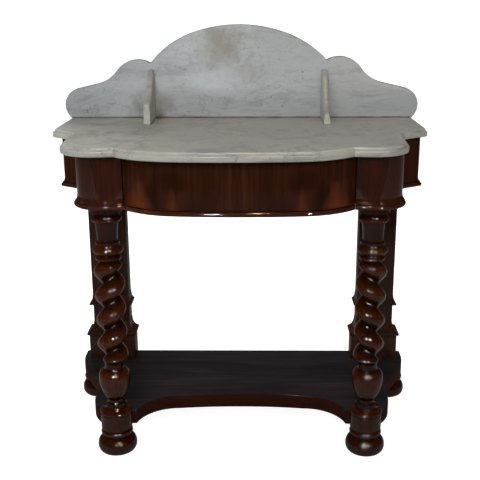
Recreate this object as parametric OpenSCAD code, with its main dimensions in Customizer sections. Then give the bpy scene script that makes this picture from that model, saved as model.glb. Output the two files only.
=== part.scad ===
// Washstand with a marble top, a bowed frieze drawer, twisted front legs and a platform shelf.
// Millimetres. X runs to the right, the front faces -Y, Z is up and the floor is Z = 0.
// The parts are drawn with the back of the stand at Y = 0; centred() then moves them
// so that the middle of the footprint is at the origin.

/* [Marble top] */
// Width over the two rear ears
top_w = 910; // [880:5:960]
// Height of the polished top face
top_h = 767; // [740:1:800]
// Thickness of the slab
top_t = 21; // [18:1:26]
// How far the slab stands out past the frieze
overhang = 22; // [16:1:26]
// Height of the rolled lower part of the moulded edge
edge_roll = 14; // [11:0.5:16]
// Depth of the small step above the roll
edge_step = 4.6; // [2:0.2:7]
// How far the front of the hand-cut slab sits off the turrets, to the right
slab_shift = -13; // [-14:1:6]
// How far the slab's ears are cut back from their line over the blocks
ear_set = 14; // [0:1:16]
// How much shorter the right ear is than the left
ear_trim = 6; // [0:1:10]

/* [Splashback] */
// Height above the slab
splash_h = 236; // [220:1:260]
// Thickness of the plate
splash_t = 22; // [18:1:26]
// How far the hand-cut arch sits off centre
arch_shift = -8; // [-12:1:12]
// Height of the cusps on each side of the arch
cusp_h = 144; // [138:1:150]
// How far the end lobes reach past the slab's ears
lobe_x = 2; // [-4:0.5:6]
// Distance from the end of a lobe to the top of its shoulder
shoulder_x = 193; // [180:1:205]
// Distance from the top of a shoulder to the cusp beside it
shoulder_w = 40; // [34:1:48]
// Radius of an end lobe
lobe_r = 44; // [40:1:48]
// Bracket height against the splashback
bracket_h = 125; // [100:1:130]
// How far a bracket reaches forward
bracket_d = 126; // [90:1:150]
// Bracket thickness
bracket_t = 16; // [14:1:24]
// Height of the bracket's nose
nose_h = 44; // [30:1:60]
// Distance from a cusp to the bracket beneath it
bracket_x = 2; // [0:1:24]
// How far the pair of brackets sits off the arch's middle
bracket_shift = -2; // [-6:1:6]

/* [Frieze] */
// Height of the frieze
frieze_h = 121; // [110:1:130]
// Depth from the back to the middle of the bow
bow_depth = 492; // [484:1:500]
// Radius of the shallow middle of the bow
bow_r = 1400; // [1200:10:1700]
// How far from its ends the shallow middle turns into a quicker curve
bow_flat = 113; // [104:1:122]
// Radius of the quick ends of the bow
bow_end_r = 170; // [165:1:180]
// Half length of the drawer front
front_half = 253; // [249:1:256]
// Gap at each end of the drawer front
seam = 1.6; // [1:0.1:2.4]
// Radius of the rounded turret corner
turret_r = 60; // [54:1:66]
// Radius of the turret's front face
turret_face_r = 160; // [140:1:200]
// How far the turret's centre lies behind the front of the bow
turret_y = 117; // [112:1:124]
// Length of the turret's block behind its centre
turret_l = 44; // [38:1:50]
// How far the end block's corner lies behind the turret's centre
ear_y = 178; // [168:1:190]
// Length of the end block behind its corner
block_l = 47; // [30:1:80]
// Thickness of the end block beside the turret
block_t = 26; // [20:1:34]
// Angle at which the block's face runs back
ear_angle = 33; // [28:1:36]
// Radius of the cove between turret and end block
cove_r = 72; // [62:1:78]
// Angle at which the sides narrow to the back
side_taper = 2.5; // [1:0.1:4]
// Height of the bottom moulding
mould_h = 20; // [16:1:26]
// Projection of the bottom moulding
mould_out = 9; // [6:0.5:12]
// Thickness of the side and back rails
rail_t = 24; // [20:1:28]
// Thickness of the bowed front rails
front_rail_t = 19; // [16:1:20]
// Thickness of the back rail
back_rail_t = 22; // [18:1:26]

/* [Drawer] */
// Thickness of the bowed drawer front
front_t = 24; // [20:1:26]
// Thickness of the sides and back
side_t = 12; // [10:1:14]
// Thickness of the bottom
bottom_t = 8; // [6:1:9]
// Height of the sides
side_h = 75; // [66:1:76]
// Gap left for the fingers behind the front's lower edge
finger_gap = 18; // [14:1:20]
// Running clearance of the drawer
run = 0.3; // [0.3:0.1:1]
// Distance from the back of the stand to the drawer
box_d = 62; // [56:1:90]
// How far the flat inner face at the ends lies behind the front of the bow
cheek_set = 84; // [80:1:88]

/* [Legs] */
// Distance from the centre to a leg
leg_x = 304; // [302:1:306]
// How far a leg's axis lies behind the turret's centre
leg_y = 7; // [0:1:12]
// Radius over the twist
crest_r = 35.5; // [33:0.5:37]
// Radius at the bottom of the twist's hollow
root_r = 17.5; // [14:0.5:22]
// Rise of the twist in one turn
twist_pitch = 59.8; // [50:0.1:70]
// Height at which a crest points straight out to the side
crest_z = 461.3; // [430:0.1:490]
// Radius of the large rings
ring_r = 35; // [32:0.5:38]
// Largest radius of the vase
vase_r = 37.3; // [34:0.1:39]
// Radius of the dished ring over the shelf
dish_r = 38.5; // [36:0.1:40]
// Largest radius of a bun foot
bun_r = 47.4; // [43:0.1:50]
// Radius of the spigots on legs and feet
spigot_r = 12; // [9:1:14]

/* [Pilasters] */
// Width of a pilaster
post_in = 96; // [86:1:104]
// How far a pilaster stands in from the side of the frieze
post_out = 14.9; // [12:0.1:24]
// Thickness of a pilaster
post_t = 48; // [40:1:52]
// Height of the plinth
plinth_h = 72; // [60:1:84]
// How far the plinth stands out round the post
plinth_out = 13; // [9:1:15]
// Height of the base moulding
base_mould_h = 35; // [26:1:40]
// Height of the cap moulding's lower edge above the shelf
cap_z = 158; // [146:1:190]
// Height of the cap moulding
cap_h = 26; // [20:1:32]
// Projection of the cap moulding
cap_out = 10; // [6:0.5:14]
// Projection of the base moulding
base_out = 20; // [17:0.5:24]

/* [Platform] */
// Height of the shelf's top face
shelf_z = 100; // [94:1:108]
// Thickness of the shelf
shelf_t = 36; // [32:1:40]
// How far the middle of the hollow front lies behind the legs
shelf_d = 96; // [84:1:106]
// How far the back corners stand out past the pilasters
shelf_half = 35; // [28:1:42]
// Distance from a leg's axis to the side of the lobe round it
shelf_lobe = 66; // [60:1:72]
// How far a back foot's axis lies in from the pilaster's outer edge
back_foot_x = 7; // [0:1:30]
// Depth of a back foot
back_foot_y = 58; // [52:1:66]

/* [Hidden] */
$fn = 96;
fit = 0.1;          // clearance of glued pieces
bore_fit = 0.15;    // clearance round spigots and dowels
frieze_z = top_h - top_t - frieze_h;
slab_z = top_h - top_t;
depth = bow_depth + overhang;

// plan sizes that follow from the ones above
turret_cy = bow_depth - turret_y;
turret_in = front_half + seam;
turret_out = leg_x + turret_r;
turret_back = turret_cy - turret_l;
leg_cy = turret_cy - leg_y;
ear_cy = turret_cy - ear_y;
block_end = ear_cy - block_l;
flat_x = front_half - bow_flat;

// normals of the block's face and of the side, and the block's outer corner
ear_n = [sin(ear_angle), -cos(ear_angle)];
side_n = [cos(side_taper), sin(side_taper)];
corner_k = [side_n.y - ear_n.y, ear_n.x - side_n.x] / (ear_n.x * side_n.y - ear_n.y * side_n.x);
ear = [top_w / 2 - overhang * corner_k.x, -ear_cy];

// bow: a shallow arc that runs into a quicker one at each end
bow_c = [0, bow_r - bow_depth];
bow_a = asin(flat_x / bow_r);
end_c = bow_c + (bow_r - bow_end_r) * [sin(bow_a), -cos(bow_a)];

// turret: a corner arc and a flatter front face that meets the bow in a cusp
turret_c = [leg_x, -turret_cy];
face_c = turret_c + [0, turret_face_r - turret_r];
cove_c = [turret_out + cove_r,
          ear.y - (cove_r - (turret_out + cove_r - ear.x) * ear_n.x) / -ear_n.y];

// carcass joints
top_rail_z = slab_z - front_rail_t;
runner_z = frieze_z + 22;
runner_foot = frieze_z + 2;
rail_bow = 64.6;    // straight end of a front rail, beside the turret
rail_shoulder = 13; // how far forward of the turret's centre that end reaches
tenon_w = 26;
tenon_l = 0.588 * (leg_x - spigot_r - turret_in);    // stops short of the leg's spigot
tenon_t = 9;
tenon_set = 5;      // the tenons lie behind the turret's centre and above the rail's lower face
post_tenon = 12;    // thickness of the pilasters' tenons
post_tenon_set = 6; // and their distance from the back
post_tenon_in = 22; // and from the pilaster's edges
post_tenon_l = 30;

// drawer
side_z = runner_z + run;
kicker_z = side_z + side_h + 1.5;
cheek_y = bow_depth - cheek_set;
box_l = cheek_y - box_d;
cheek_w = 27;       // width of the flat inner face at each end
front_gap = 2;      // gap over the drawer front, and under it to the moulding's foot
front_h = frieze_h - 2 * front_gap;
tail_l = 11;
tail_w = 15;
bottom_up = 3;      // height of the bottom over the lower edge of the sides
bottom_z = side_z + bottom_up;
groove = 6;

leg_cap_h = 134;    // capital, from the frieze down to the twist
leg_base_h = 135;   // vase and dish, from the shelf up to the twist
twist_z = shelf_z + leg_base_h;
twist_h = frieze_z - leg_cap_h - twist_z;
drum_r = dish_r - 1;

// pilasters and feet line up with the side of the frieze
post_outer = side_x(0) - post_out;
post_inner = post_outer - post_in;
foot_x = post_outer - back_foot_x;
shelf_side = post_outer + shelf_half;
shelf_front = leg_cy - shelf_d;

// splashback
lobe_end = top_w / 2 + lobe_x;
shoulder_cx = lobe_end - shoulder_x;
arch_x = shoulder_cx - shoulder_w;
bracket_cx = arch_x - bracket_x;

marble = "whitesmoke";
mahogany = "saddlebrown";
dark_mahogany = "#4a2416";
deal = "burlywood";
brass = "goldenrod";
steel = "silver";

// ---------- helpers ----------
function arc(c, r, a0, a1, n = 12) =
    [for (i = [0:n]) let (a = a0 + (a1 - a0) * i / n) c + r * [cos(a), sin(a)]];
function rest(pts) = [for (i = [1:len(pts) - 1]) pts[i]];
function back(pts) = [for (i = [len(pts) - 1:-1:0]) pts[i]];
// the left half in front of a right half that starts on the centre line
function whole(half) = concat([for (p = back(rest(half))) [-p.x, p.y]], half);
// a hollow quarter that runs inward and up from a lip to a wall
function hollow(lip, wall, n = 5) = [for (i = [0:n]) let (a = 90 * i / n)
    [lip.x - (lip.x - wall.x) * sin(a), wall.y - (wall.y - lip.y) * cos(a)]];

module centred() translate([0, depth / 2, 0]) children();
module side(s) mirror([s < 0 ? 1 : 0, 0, 0]) children();

// joins rows of points into a solid; a row follows one line of a moulding from end to end.
// A loop runs round the whole slab; otherwise the rows close into a section with two flat ends.
module skin(rows, loop = false) {
    m = len(rows);
    n = len(rows[0]);
    across = loop ? m - 2 : m - 1;
    along = loop ? n - 1 : n - 2;
    polyhedron(
        points = [for (r = rows) each r],
        faces = concat(
            [for (j = [0:across], i = [0:along]) let (k = (j + 1) % m, l = (i + 1) % n)
                each [[j * n + i, k * n + i, k * n + l], [j * n + i, k * n + l, j * n + l]]],
            loop ? [[for (i = [0:n - 1]) i], [for (i = [n - 1:-1:0]) (m - 1) * n + i]]
                 : [[for (j = [m - 1:-1:0]) j * n], [for (j = [0:m - 1]) j * n + n - 1]]));
}

// ---------- outlines that the frieze and the slab share ----------
// d is how far the outline stands out from the frieze's wall
function bow_pts(d, x_end, n = 10) = let (a1 = asin((x_end - end_c.x) / (bow_end_r + d))) concat(
    [for (i = [0:3]) let (a = bow_a * i / 4) bow_c + (bow_r + d) * [sin(a), -cos(a)]],
    [for (i = [0:n]) let (a = bow_a + (a1 - bow_a) * i / n) end_c + (bow_end_r + d) * [sin(a), -cos(a)]]);
function turret_pts(d, x0, n = 10) = let (a0 = -asin((face_c.x - x0) / (turret_face_r + d))) concat(
    [for (i = [0:3]) let (a = a0 * (1 - i / 4)) face_c + (turret_face_r + d) * [sin(a), -cos(a)]],
    [for (i = [0:n]) let (a = 90 * i / n) turret_c + (turret_r + d) * [sin(a), -cos(a)]]);
function cove_pts(d, n = 7) = arc(cove_c, cove_r - d, 180, 90 + ear_angle, n);
function ear_corner(d) = ear + d * corner_k;
function side_x(y, d = 0) = ear_corner(d).x - (y - ear_corner(d).y) * tan(side_taper);
function ear_start(d) = cove_c - (cove_r - d) * ear_n;
// where the bow and the turret's face cross
function cusp_x(d) = let (r1 = bow_end_r + d, r2 = turret_face_r + d, v = face_c - end_c, l = norm(v),
    a = (r1 * r1 - r2 * r2 + l * l) / (2 * l), h = sqrt(r1 * r1 - a * a)) end_c.x + (a * v.x + h * v.y) / l;
function outline(d) = let (x = cusp_x(d)) whole(concat(
    bow_pts(d, x), rest(turret_pts(d, x)), cove_pts(d), [ear_corner(d), [side_x(0, d), 0]]));

// ---------- marble ----------
// section of the moulded edge, from the underside to the top face: roll, small step, upper quarter
function slab_edge() = let (r = 3, q = top_t - edge_roll - 3) concat(
    arc([-r, r], r, -90, 0, 3),
    arc([-r, edge_roll - r], r, 0, 90, 3),
    [[-edge_step, edge_roll + 0.4]],
    arc([-edge_step - q, top_t - q], q, 0, 90, 4));

// the slab doesn't follow the frieze exactly: its front sits off centre and its ears are cut back;
// a point of the outline at d moves with it, less and less towards the ears and not at the back
function within(v) = max(0, min(1, v));
function hand_cut(p, d) = let (tip = ear_corner(d), b = -p.y,
    front = within((b + tip.y) / (turret_cy + tip.y)),
    rear = min(-b / tip.y, 1 - front),
    left = within((tip.x + p.x) / (tip.x - ear_start(d).x)) * within(-b / tip.y))
    [p.x + (p.x < 0 ? slab_shift * left : slab_shift * front - ear_trim * rear), p.y + ear_set * rear];

module marble_top() color(marble) centred() difference() {
    translate([0, 0, slab_z])
        skin([for (q = slab_edge()) let (d = overhang + q.x)
            [for (p = outline(d)) let (h = hand_cut(p, d)) [h.x, h.y, q.y]]], loop = true);
    splash_dowel_places() dowel_bore(dowel_down);
    for (s = [-1, 1]) bracket_dowel_places(s) dowel_bore(dowel_down);
}

// outline of the splashback: arch, cusps, shoulders, ogee sweeps and round end lobes
arch_r = 365;       // the shallow top of the arch
arch_flat = 120;    // half its width
shoulder_r = 60;
shoulder_in_r = 90;
shoulder_up = 8.5;  // height of the shoulders over the cusps
sweep_r = 128;
lobe_up = 35;       // height of a lobe's centre over the slab
arch_a = asin(arch_flat / arch_r);
arch_c = [0, splash_h - arch_r];
// the quicker end of the arch leaves the shallow part smoothly and ends in the cusp
arch_n = [sin(arch_a), cos(arch_a)];
arch_p = arch_c + arch_r * arch_n;
arch_q = [arch_x, cusp_h];
arch_end_r = (arch_p - arch_q) * (arch_p - arch_q) / (2 * arch_n * (arch_p - arch_q));
arch_end_c = arch_p - arch_end_r * arch_n;
function splash_half(s) = let (
        shift = s * arch_shift,
        top = cusp_h + shoulder_up,
        lobe_c = [lobe_end - lobe_r, lobe_up],
        sweep_c = [lobe_c.x, lobe_c.y + lobe_r + sweep_r]) concat(
    arc(arch_c + [shift, 0], arch_r, 90, 90 - arch_a, 7),
    rest(arc(arch_end_c + [shift, 0], arch_end_r, 90 - arch_a,
             atan2(cusp_h - arch_end_c.y, arch_x - arch_end_c.x), 7)),
    arc([shoulder_cx, top - shoulder_in_r], shoulder_in_r, 108, 94, 3),
    arc([shoulder_cx, top - shoulder_r], shoulder_r, 90, 45, 7),
    arc(sweep_c, sweep_r, 225, 270, 10),
    rest(arc(lobe_c, lobe_r, 90, -asin(lobe_c.y / lobe_r), 16)));

module marble_splashback() color(marble) centred() difference() {
    translate([0, 0, top_h]) rotate([90, 0, 0]) linear_extrude(splash_t)
        polygon(concat(back(splash_half(1)), [for (p = rest(splash_half(-1))) [-p.x, p.y]]));
    splash_dowel_places() dowel_bore(dowel_up);
}

// side view of a bracket: nose, ogee slope and the back that stands against the splashback
function bracket_side() = let (r = nose_h * 0.18, q = bracket_d * 0.11, slope = bracket_h - nose_h) concat(
    [[0, 0], [bracket_d, 0]],
    arc([bracket_d - r, nose_h - r], r, 0, 60, 5),
    [[bracket_d * 0.62, nose_h + slope * 0.28], [bracket_d * 0.36, nose_h + slope * 0.62]],
    arc([q, bracket_h - q], q, 40, 90, 5),
    [[0, bracket_h]]);

module bracket(s) color(marble) centred() difference() {
    translate([arch_shift + bracket_shift + s * bracket_cx - bracket_t / 2, -splash_t, top_h])
        rotate([90, 0, 90]) linear_extrude(bracket_t)
            polygon([for (p = bracket_side()) [-p.x, p.y]]);
    bracket_dowel_places(s) dowel_bore(dowel_up / 2);
}
module marble_bracket_left() bracket(-1);
module marble_bracket_right() bracket(1);

dowel_r = 3;
dowel_step = 130;
dowel_down = 16;    // how far the dowels go into the slab
dowel_up = 20;      // and into the splashback; a bracket's go half as far
module dowel_bore(l) cylinder(r = dowel_r + bore_fit, h = 2 * (l + 1), center = true);
module splash_dowel_places()
    for (k = [-3:2:3]) translate([k * dowel_step, -splash_t / 2, top_h]) children();
module bracket_dowel_places(s)
    for (k = [0.25, 0.75])
        translate([arch_shift + bracket_shift + s * bracket_cx, -splash_t - k * bracket_d, top_h]) children();
module marble_dowels() color(brass) centred() {
    splash_dowel_places() translate([0, 0, -dowel_down]) cylinder(r = dowel_r, h = dowel_down + dowel_up);
    for (s = [-1, 1]) bracket_dowel_places(s)
        translate([0, 0, -dowel_down]) cylinder(r = dowel_r, h = dowel_down + dowel_up / 2);
}

// ---------- frieze ----------
module turret_plan() {
    intersection() {
        translate(turret_c) circle(turret_r);
        translate([leg_x, -turret_cy - turret_r - 1]) square(turret_r + 1);
    }
    intersection() {
        translate(face_c) circle(turret_face_r);
        translate([turret_in, -turret_cy - turret_r - 1]) square([leg_x - turret_in, turret_r + 1]);
    }
    translate([turret_in, -turret_cy]) square([turret_out - turret_in, turret_cy - turret_back]);
}

module turret(s) color(mahogany) centred() side(s) difference() {
    translate([0, 0, frieze_z]) linear_extrude(frieze_h) turret_plan();
    translate([leg_x, -leg_cy, frieze_z - 1]) cylinder(r = spigot_r + bore_fit, h = spigot_l + 3);
    rail_tenons();
}
module turret_left() turret(-1);
module turret_right() turret(1);

// mortises for the front rails' tenons
module rail_tenons()
    for (z = [runner_z - front_rail_t, top_rail_z])
        translate([turret_in - 1, -turret_cy + tenon_set - fit, z + tenon_set - fit])
            cube([tenon_l + 1, tenon_w + 2 * fit, tenon_t + 2 * fit]);

// the block that stands out behind the turret, with the cove in its front
module end_plan() difference() {
    polygon([[turret_out - block_t, -turret_back + fit], [turret_out, -turret_back + fit],
             [turret_out, cove_c.y], ear_start(0), ear, [side_x(-block_end), -block_end],
             [side_x(-block_end) - rail_t, -block_end], [turret_out - block_t, -ear_cy - rail_t]]);
    translate(cove_c) circle(cove_r);
}

module end_block(s) color(mahogany) centred() side(s)
    translate([0, 0, frieze_z]) linear_extrude(frieze_h) end_plan();
module end_block_left() end_block(-1);
module end_block_right() end_block(1);

module side_rail(s) color(mahogany) centred() side(s)
    translate([0, 0, frieze_z]) linear_extrude(frieze_h)
        polygon([[side_x(-block_end + fit), -block_end + fit], [side_x(0), 0], [side_x(0) - rail_t, 0],
                 [side_x(-block_end + fit) - rail_t, -block_end + fit]]);
module side_rail_left() side_rail(-1);
module side_rail_right() side_rail(1);

module back_rail() color(deal) centred() difference() {
    translate([-side_x(0) + rail_t + fit, -back_rail_t, frieze_z])
        cube([2 * (side_x(0) - rail_t - fit), back_rail_t, frieze_h]);
    for (s = [-1, 1]) side(s) post_tenon_at(frieze_z - 1, post_tenon_l + 2, bore_fit);
}

// a front rail whose edge follows the inside of the drawer front, set back by d
module bowed_rail(d, z) color(deal) centred() {
    translate([0, 0, z]) linear_extrude(front_rail_t)
        polygon(whole(concat(bow_pts(-d, turret_in - rail_bow, 5),
            [[turret_in - fit, -turret_cy - rail_shoulder], [turret_in - fit, -turret_back]])));
    for (s = [-1, 1]) side(s)
        translate([turret_in - 1, -turret_cy + tenon_set, z + tenon_set]) cube([tenon_l, tenon_w, tenon_t]);
}
module front_top_rail() bowed_rail(front_t + finger_gap, top_rail_z);
module front_bottom_rail() bowed_rail(front_t + finger_gap, runner_z - front_rail_t);

bearer_w = 44;
module centre_bearer() color(deal) centred()
    translate([-bearer_w / 2, -turret_back + fit, top_rail_z]) cube([bearer_w, runner_l, front_rail_t]);

// three-cornered blocks glued into the corners of the carcass
block_leg = 34;
block_h = 81;
module glue_blocks() color(deal) centred()
    for (s = [-1, 1]) side(s) translate([0, 0, frieze_z + (frieze_h - block_h) / 2]) {
        translate([side_x(0) - rail_t - 2, -back_rail_t - fit])
            linear_extrude(block_h) polygon([[0, 0], [-block_leg, 0], [0, -block_leg]]);
        translate([turret_out - block_t - fit, -turret_back + fit])
            linear_extrude(block_h) polygon([[0, 0], [-block_leg, 0], [0, block_leg]]);
    }

// section of the bottom moulding: a hollow that runs out to a rounded lip
function mould_edge() = let (lip = mould_h * 0.38) concat(
    [[0, 0], [mould_out - 1.5, 0], [mould_out, 1.5], [mould_out, lip - 2], [mould_out - 1.2, lip - 0.4],
     [mould_out - 2, lip]],
    rest(hollow([mould_out - 2, lip], [0.8, mould_h - 1])), [[0.8, mould_h], [0, mould_h]]);
mould_gap = 0.2;    // clearance between the moulding and a curved wall

module turret_moulding(s) color(dark_mahogany) centred() side(s) translate([0, 0, frieze_z])
    skin([for (q = mould_edge()) let (d = q.x + mould_gap) [for (p = concat(turret_pts(d, turret_in, 16),
        [[turret_out + d, -turret_back]])) [p.x, p.y, q.y]]]);
module turret_moulding_left() turret_moulding(-1);
module turret_moulding_right() turret_moulding(1);

module end_moulding(s) color(dark_mahogany) centred() side(s) translate([0, 0, frieze_z])
    skin([for (q = mould_edge()) let (d = q.x + mould_gap)
        [for (p = concat([[turret_out + d, -turret_back + fit]], cove_pts(d),
            [ear_corner(d), [side_x(0, d), 0]])) [p.x, p.y, q.y]]]);
module end_moulding_left() end_moulding(-1);
module end_moulding_right() end_moulding(1);

// ---------- what carries the drawer ----------
runner_w = 46;
runner_reach = 15;  // how far a runner reaches in under the drawer
runner_in = front_half - side_t - runner_reach;
runner_l = turret_back - back_rail_t - 2 * fit;
guide_gap = 1;
guide_h = 16;
module drawer_runner(s) color(deal) centred() side(s)
    translate([runner_in, -turret_back + fit, runner_foot])
        cube([runner_w, runner_l, runner_z - runner_foot]);
module drawer_runner_left() drawer_runner(-1);
module drawer_runner_right() drawer_runner(1);

// a strip on the runner that keeps the drawer straight
module drawer_guide(s) color(deal) centred() side(s)
    translate([front_half + guide_gap, -turret_back + fit, runner_z])
        cube([runner_in + runner_w - front_half - guide_gap, runner_l, guide_h]);
module drawer_guide_left() drawer_guide(-1);
module drawer_guide_right() drawer_guide(1);

module drawer_kicker(s) color(deal) centred() side(s)
    translate([runner_in, -turret_back + fit, kicker_z]) cube([runner_w, runner_l, slab_z - kicker_z]);
module drawer_kicker_left() drawer_kicker(-1);
module drawer_kicker_right() drawer_kicker(1);

// small blocks on the runners that the closed drawer stops against
stop_l = 26;
stop_h = 18;
module drawer_stops() color(deal) centred()
    for (s = [-1, 1]) side(s)
        translate([runner_in + 1, -box_d + 1, runner_z])
            cube([side_t + runner_reach - 3, stop_l, stop_h]);

// ---------- drawer ----------
// tails on a side, in the Y-Z plane, that point towards the back; the front ones are turned round
module tails(l, grow = 0)
    for (i = [0:2]) translate([0, side_z + side_h * (i + 0.5) / 3])
        polygon([[-0.5, -tail_w / 3 - grow], [l + grow, -tail_w / 2 - grow],
                 [l + grow, tail_w / 2 + grow], [-0.5, tail_w / 3 + grow]]);
module front_tails(grow = 0) translate([-cheek_y + fit, 0]) mirror([1, 0]) tails(tail_l, grow);
module rear_tails(grow = 0) translate([-cheek_y + box_l - side_t - fit, 0]) tails(side_t + fit, grow);

module in_side(x) translate([x, 0, 0]) rotate([90, 0, 90]) children();

module drawer_side(s) color("tan") centred() side(s) difference() {
    in_side(front_half - side_t) linear_extrude(side_t) {
        translate([-cheek_y + fit, side_z]) square([box_l - side_t - 2 * fit, side_h]);
        front_tails();
        rear_tails();
    }
    translate([front_half - side_t - 1, -depth, bottom_z - fit])
        cube([groove + 1, depth, bottom_t + 2 * fit]);
}
module drawer_side_left() drawer_side(-1);
module drawer_side_right() drawer_side(1);

module drawer_back() color("tan") centred() difference() {
    translate([-front_half, -cheek_y + box_l - side_t, bottom_z + bottom_t + fit])
        cube([2 * front_half, side_t, side_z + side_h - (bottom_z + bottom_t + fit)]);
    for (s = [-1, 1]) side(s) in_side(front_half - side_t - fit) linear_extrude(side_t + 1) rear_tails(fit);
    drawer_screw_places() cylinder(r = screw_r + bore_fit, h = bottom_t + 16);
}

// the bottom follows the bow into a groove in the front
cheek_in = front_half - cheek_w;
function bottom_plan(gap) = let (x1 = front_half - side_t + groove - gap, y1 = -cheek_y - groove + gap)
    concat(bow_pts(groove - front_t - gap, cheek_in, 8), [[cheek_in, y1], [x1, y1]]);

module drawer_bottom() color("tan") centred() difference() {
    translate([0, 0, bottom_z]) linear_extrude(bottom_t)
        polygon(whole(concat(bottom_plan(fit), [[front_half - side_t + groove - fit, -cheek_y + box_l]])));
    drawer_screw_places() cylinder(r = screw_r + bore_fit, h = 3 * bottom_t, center = true);
}

module drawer_front() color(mahogany) centred() difference() {
    translate([0, 0, frieze_z + front_gap]) linear_extrude(front_h) difference() {
        polygon(whole(concat(bow_pts(0, front_half), [[front_half, -cheek_y]])));
        polygon(whole(concat(bow_pts(-front_t, cheek_in), [[cheek_in, -cheek_y + 1]])));
    }
    for (s = [-1, 1]) side(s) in_side(front_half - side_t - fit) linear_extrude(side_t + 2) front_tails(fit);
    translate([0, 0, bottom_z - fit]) linear_extrude(bottom_t + 2 * fit)
        polygon(whole(concat(bottom_plan(0), [[front_half - side_t + groove, -cheek_y + 1]])));
}

module drawer_front_moulding() color(dark_mahogany) centred() translate([0, 0, frieze_z])
    skin([for (q = mould_edge()) [for (p = whole(bow_pts(q.x + mould_gap, front_half))) [p.x, p.y, q.y]]]);

screw_r = 1.5;
screw_head = 1.8;
screw_step = 160;
module drawer_screw_places()
    for (k = [-1:1]) translate([k * screw_step, -cheek_y + box_l - side_t / 2, bottom_z]) children();
module drawer_bottom_screws() color(steel) centred() drawer_screw_places() {
    translate([0, 0, -screw_head]) cylinder(r = 2.3 * screw_r, h = screw_head);
    cylinder(r = screw_r, h = bottom_t + 14);
}

// ---------- legs ----------
// The turned profiles are drawn at their usual size and fitted to the named heights and radii.
function fitted(pts, kr, kz) = [for (q = pts) [kr * q.x, kz * q.y]];
spigot_l = 38;

// below the twist: vase, neck and dished ring; heights are above the shelf
module vase_profile() {
    kd = dish_r / 38.5;
    kv = vase_r / 37.3;
    kz = leg_base_h / 135;
    polygon(concat(
        fitted([[0, 0], [36.5, 0], [36.5, 2], [37.5, 2.5], [38.5, 5], [38.5, 9], [37, 12], [30, 14.5],
            [29, 16.5], [25.5, 19], [24.5, 21.5], [22.5, 24], [22.5, 28], [20.5, 29], [18.8, 33], [18.8, 38],
            [20.2, 41], [22, 42.5]], kd, kz),
        fitted([for (i = [0:14]) let (t = i / 14)
            [21.8 + 15.5 * pow(sin(90 * min(1, t * 1.42)), 1.15) - 8.5 * pow(max(0, (t - 0.72) / 0.28), 2),
             43 + 72 * t]], kv, kz),
        fitted([[26, 117], [23, 118], [22, 121], [22.5, 126], [25, 130], [27, 135], [0, 135]], kv, kz)));
    translate([kd * 34, kz * 7]) circle(kd * 4.5, $fn = 32);
}

// above the twist; heights are below the frieze
module capital_profile() {
    kr = ring_r / 35;
    kz = leg_cap_h / 134;
    polygon(fitted([[0, -134], [26, -134], [26, -124], [24, -121], [26.5, -117], [30, -115.5],
        [30, -101], [28, -99], [26, -95.5], [28, -93.5], [28, -90.5], [26.3, -89.5], [26.3, -86.5],
        [25.3, -86], [27.5, -43], [29.5, -42.5], [29.5, -40], [31, -39.5], [31, -30.5], [31.5, -29.5],
        [31.5, -22.5], [36, -21.5], [36, 0], [0, 0]], kr, kz));
    for (q = [[24.5, -35, 5], [29.5, -35, 5.5], [27.5, -108.2, 7.5], [24.5, -128, 4.8]])
        translate([kr * q.x, kz * q.y]) circle(kr * q.z, $fn = 32);
}

// the twist's section: a cam whose single hollow winds round the leg
cam_n = 20;
cam = [for (i = [0:cam_n - 1]) let (a = 360 * i / cam_n)
    (root_r + (crest_r - root_r) * pow(abs(sin(a / 2)), 0.8)) * [cos(a), sin(a)]];
module twist_leg(s) color(mahogany) centred() side(s) translate([leg_x, -leg_cy, 0]) {
    translate([0, 0, shelf_z]) rotate_extrude() vase_profile();
    translate([0, 0, twist_z - 0.2]) mirror([1, 0, 0]) rotate(360 * (twist_z - crest_z) / twist_pitch)
        linear_extrude(twist_h + 0.4, twist = -360 * twist_h / twist_pitch,
            slices = round(15 * twist_h / twist_pitch), segments = cam_n) polygon(cam);
    translate([0, 0, frieze_z]) rotate_extrude() capital_profile();
    translate([0, 0, shelf_z - shelf_t + 2]) cylinder(r = spigot_r, h = shelf_t);
    translate([0, 0, frieze_z - 2]) cylinder(r = spigot_r, h = spigot_l + 2);
}
module twist_leg_left() twist_leg(-1);
module twist_leg_right() twist_leg(1);

// bun foot with a bead; the seat on top lies under the shelf
foot_z = shelf_z - shelf_t;
module bun_profile(bead_r) {
    kr = bun_r / 47.4;
    kz = foot_z / 64;
    polygon(fitted(concat([[0, 0], [33, 0]], [for (i = [0:12]) let (a = -62 + 122 * i / 12)
        [19 + 28.4 * cos(a), 19 + 19 * sin(a) / (a < 0 ? sin(62) : 0.88)]],
        [[32, 41.2], [32, 64], [0, 64]]), kr, kz));
    translate([bead_r - 9.5 * kz, kz * 53]) circle(9.5 * kz, $fn = 40);
}

module front_foot(s) color(mahogany) centred() side(s) difference() {
    translate([leg_x, -leg_cy, 0]) rotate_extrude() {
        bun_profile(dish_r);
        translate([0, foot_z - 2]) square([drum_r, shelf_t + 2]);
    }
    translate([leg_x, -leg_cy, foot_z]) cylinder(r = spigot_r + bore_fit, h = shelf_t + 4);
    shelf_dowel_place() cylinder(r = shelf_dowel_r + bore_fit, h = shelf_dowel_l + 10);
}
module front_foot_left() front_foot(-1);
module front_foot_right() front_foot(1);

back_bead = 3;      // the back feet's beads stand out this much more
module back_foot(s) color(mahogany) centred() side(s) translate([foot_x, -back_foot_y, 0]) {
    rotate_extrude() {
        bun_profile(dish_r + back_bead);
        translate([0, foot_z - 4]) square([drum_r - 1.5, 4]);
    }
    translate([0, 0, foot_z - 2]) cylinder(r = spigot_r, h = 2 * shelf_t / 3 + 2);
}
module back_foot_left() back_foot(-1);
module back_foot_right() back_foot(1);

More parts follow.
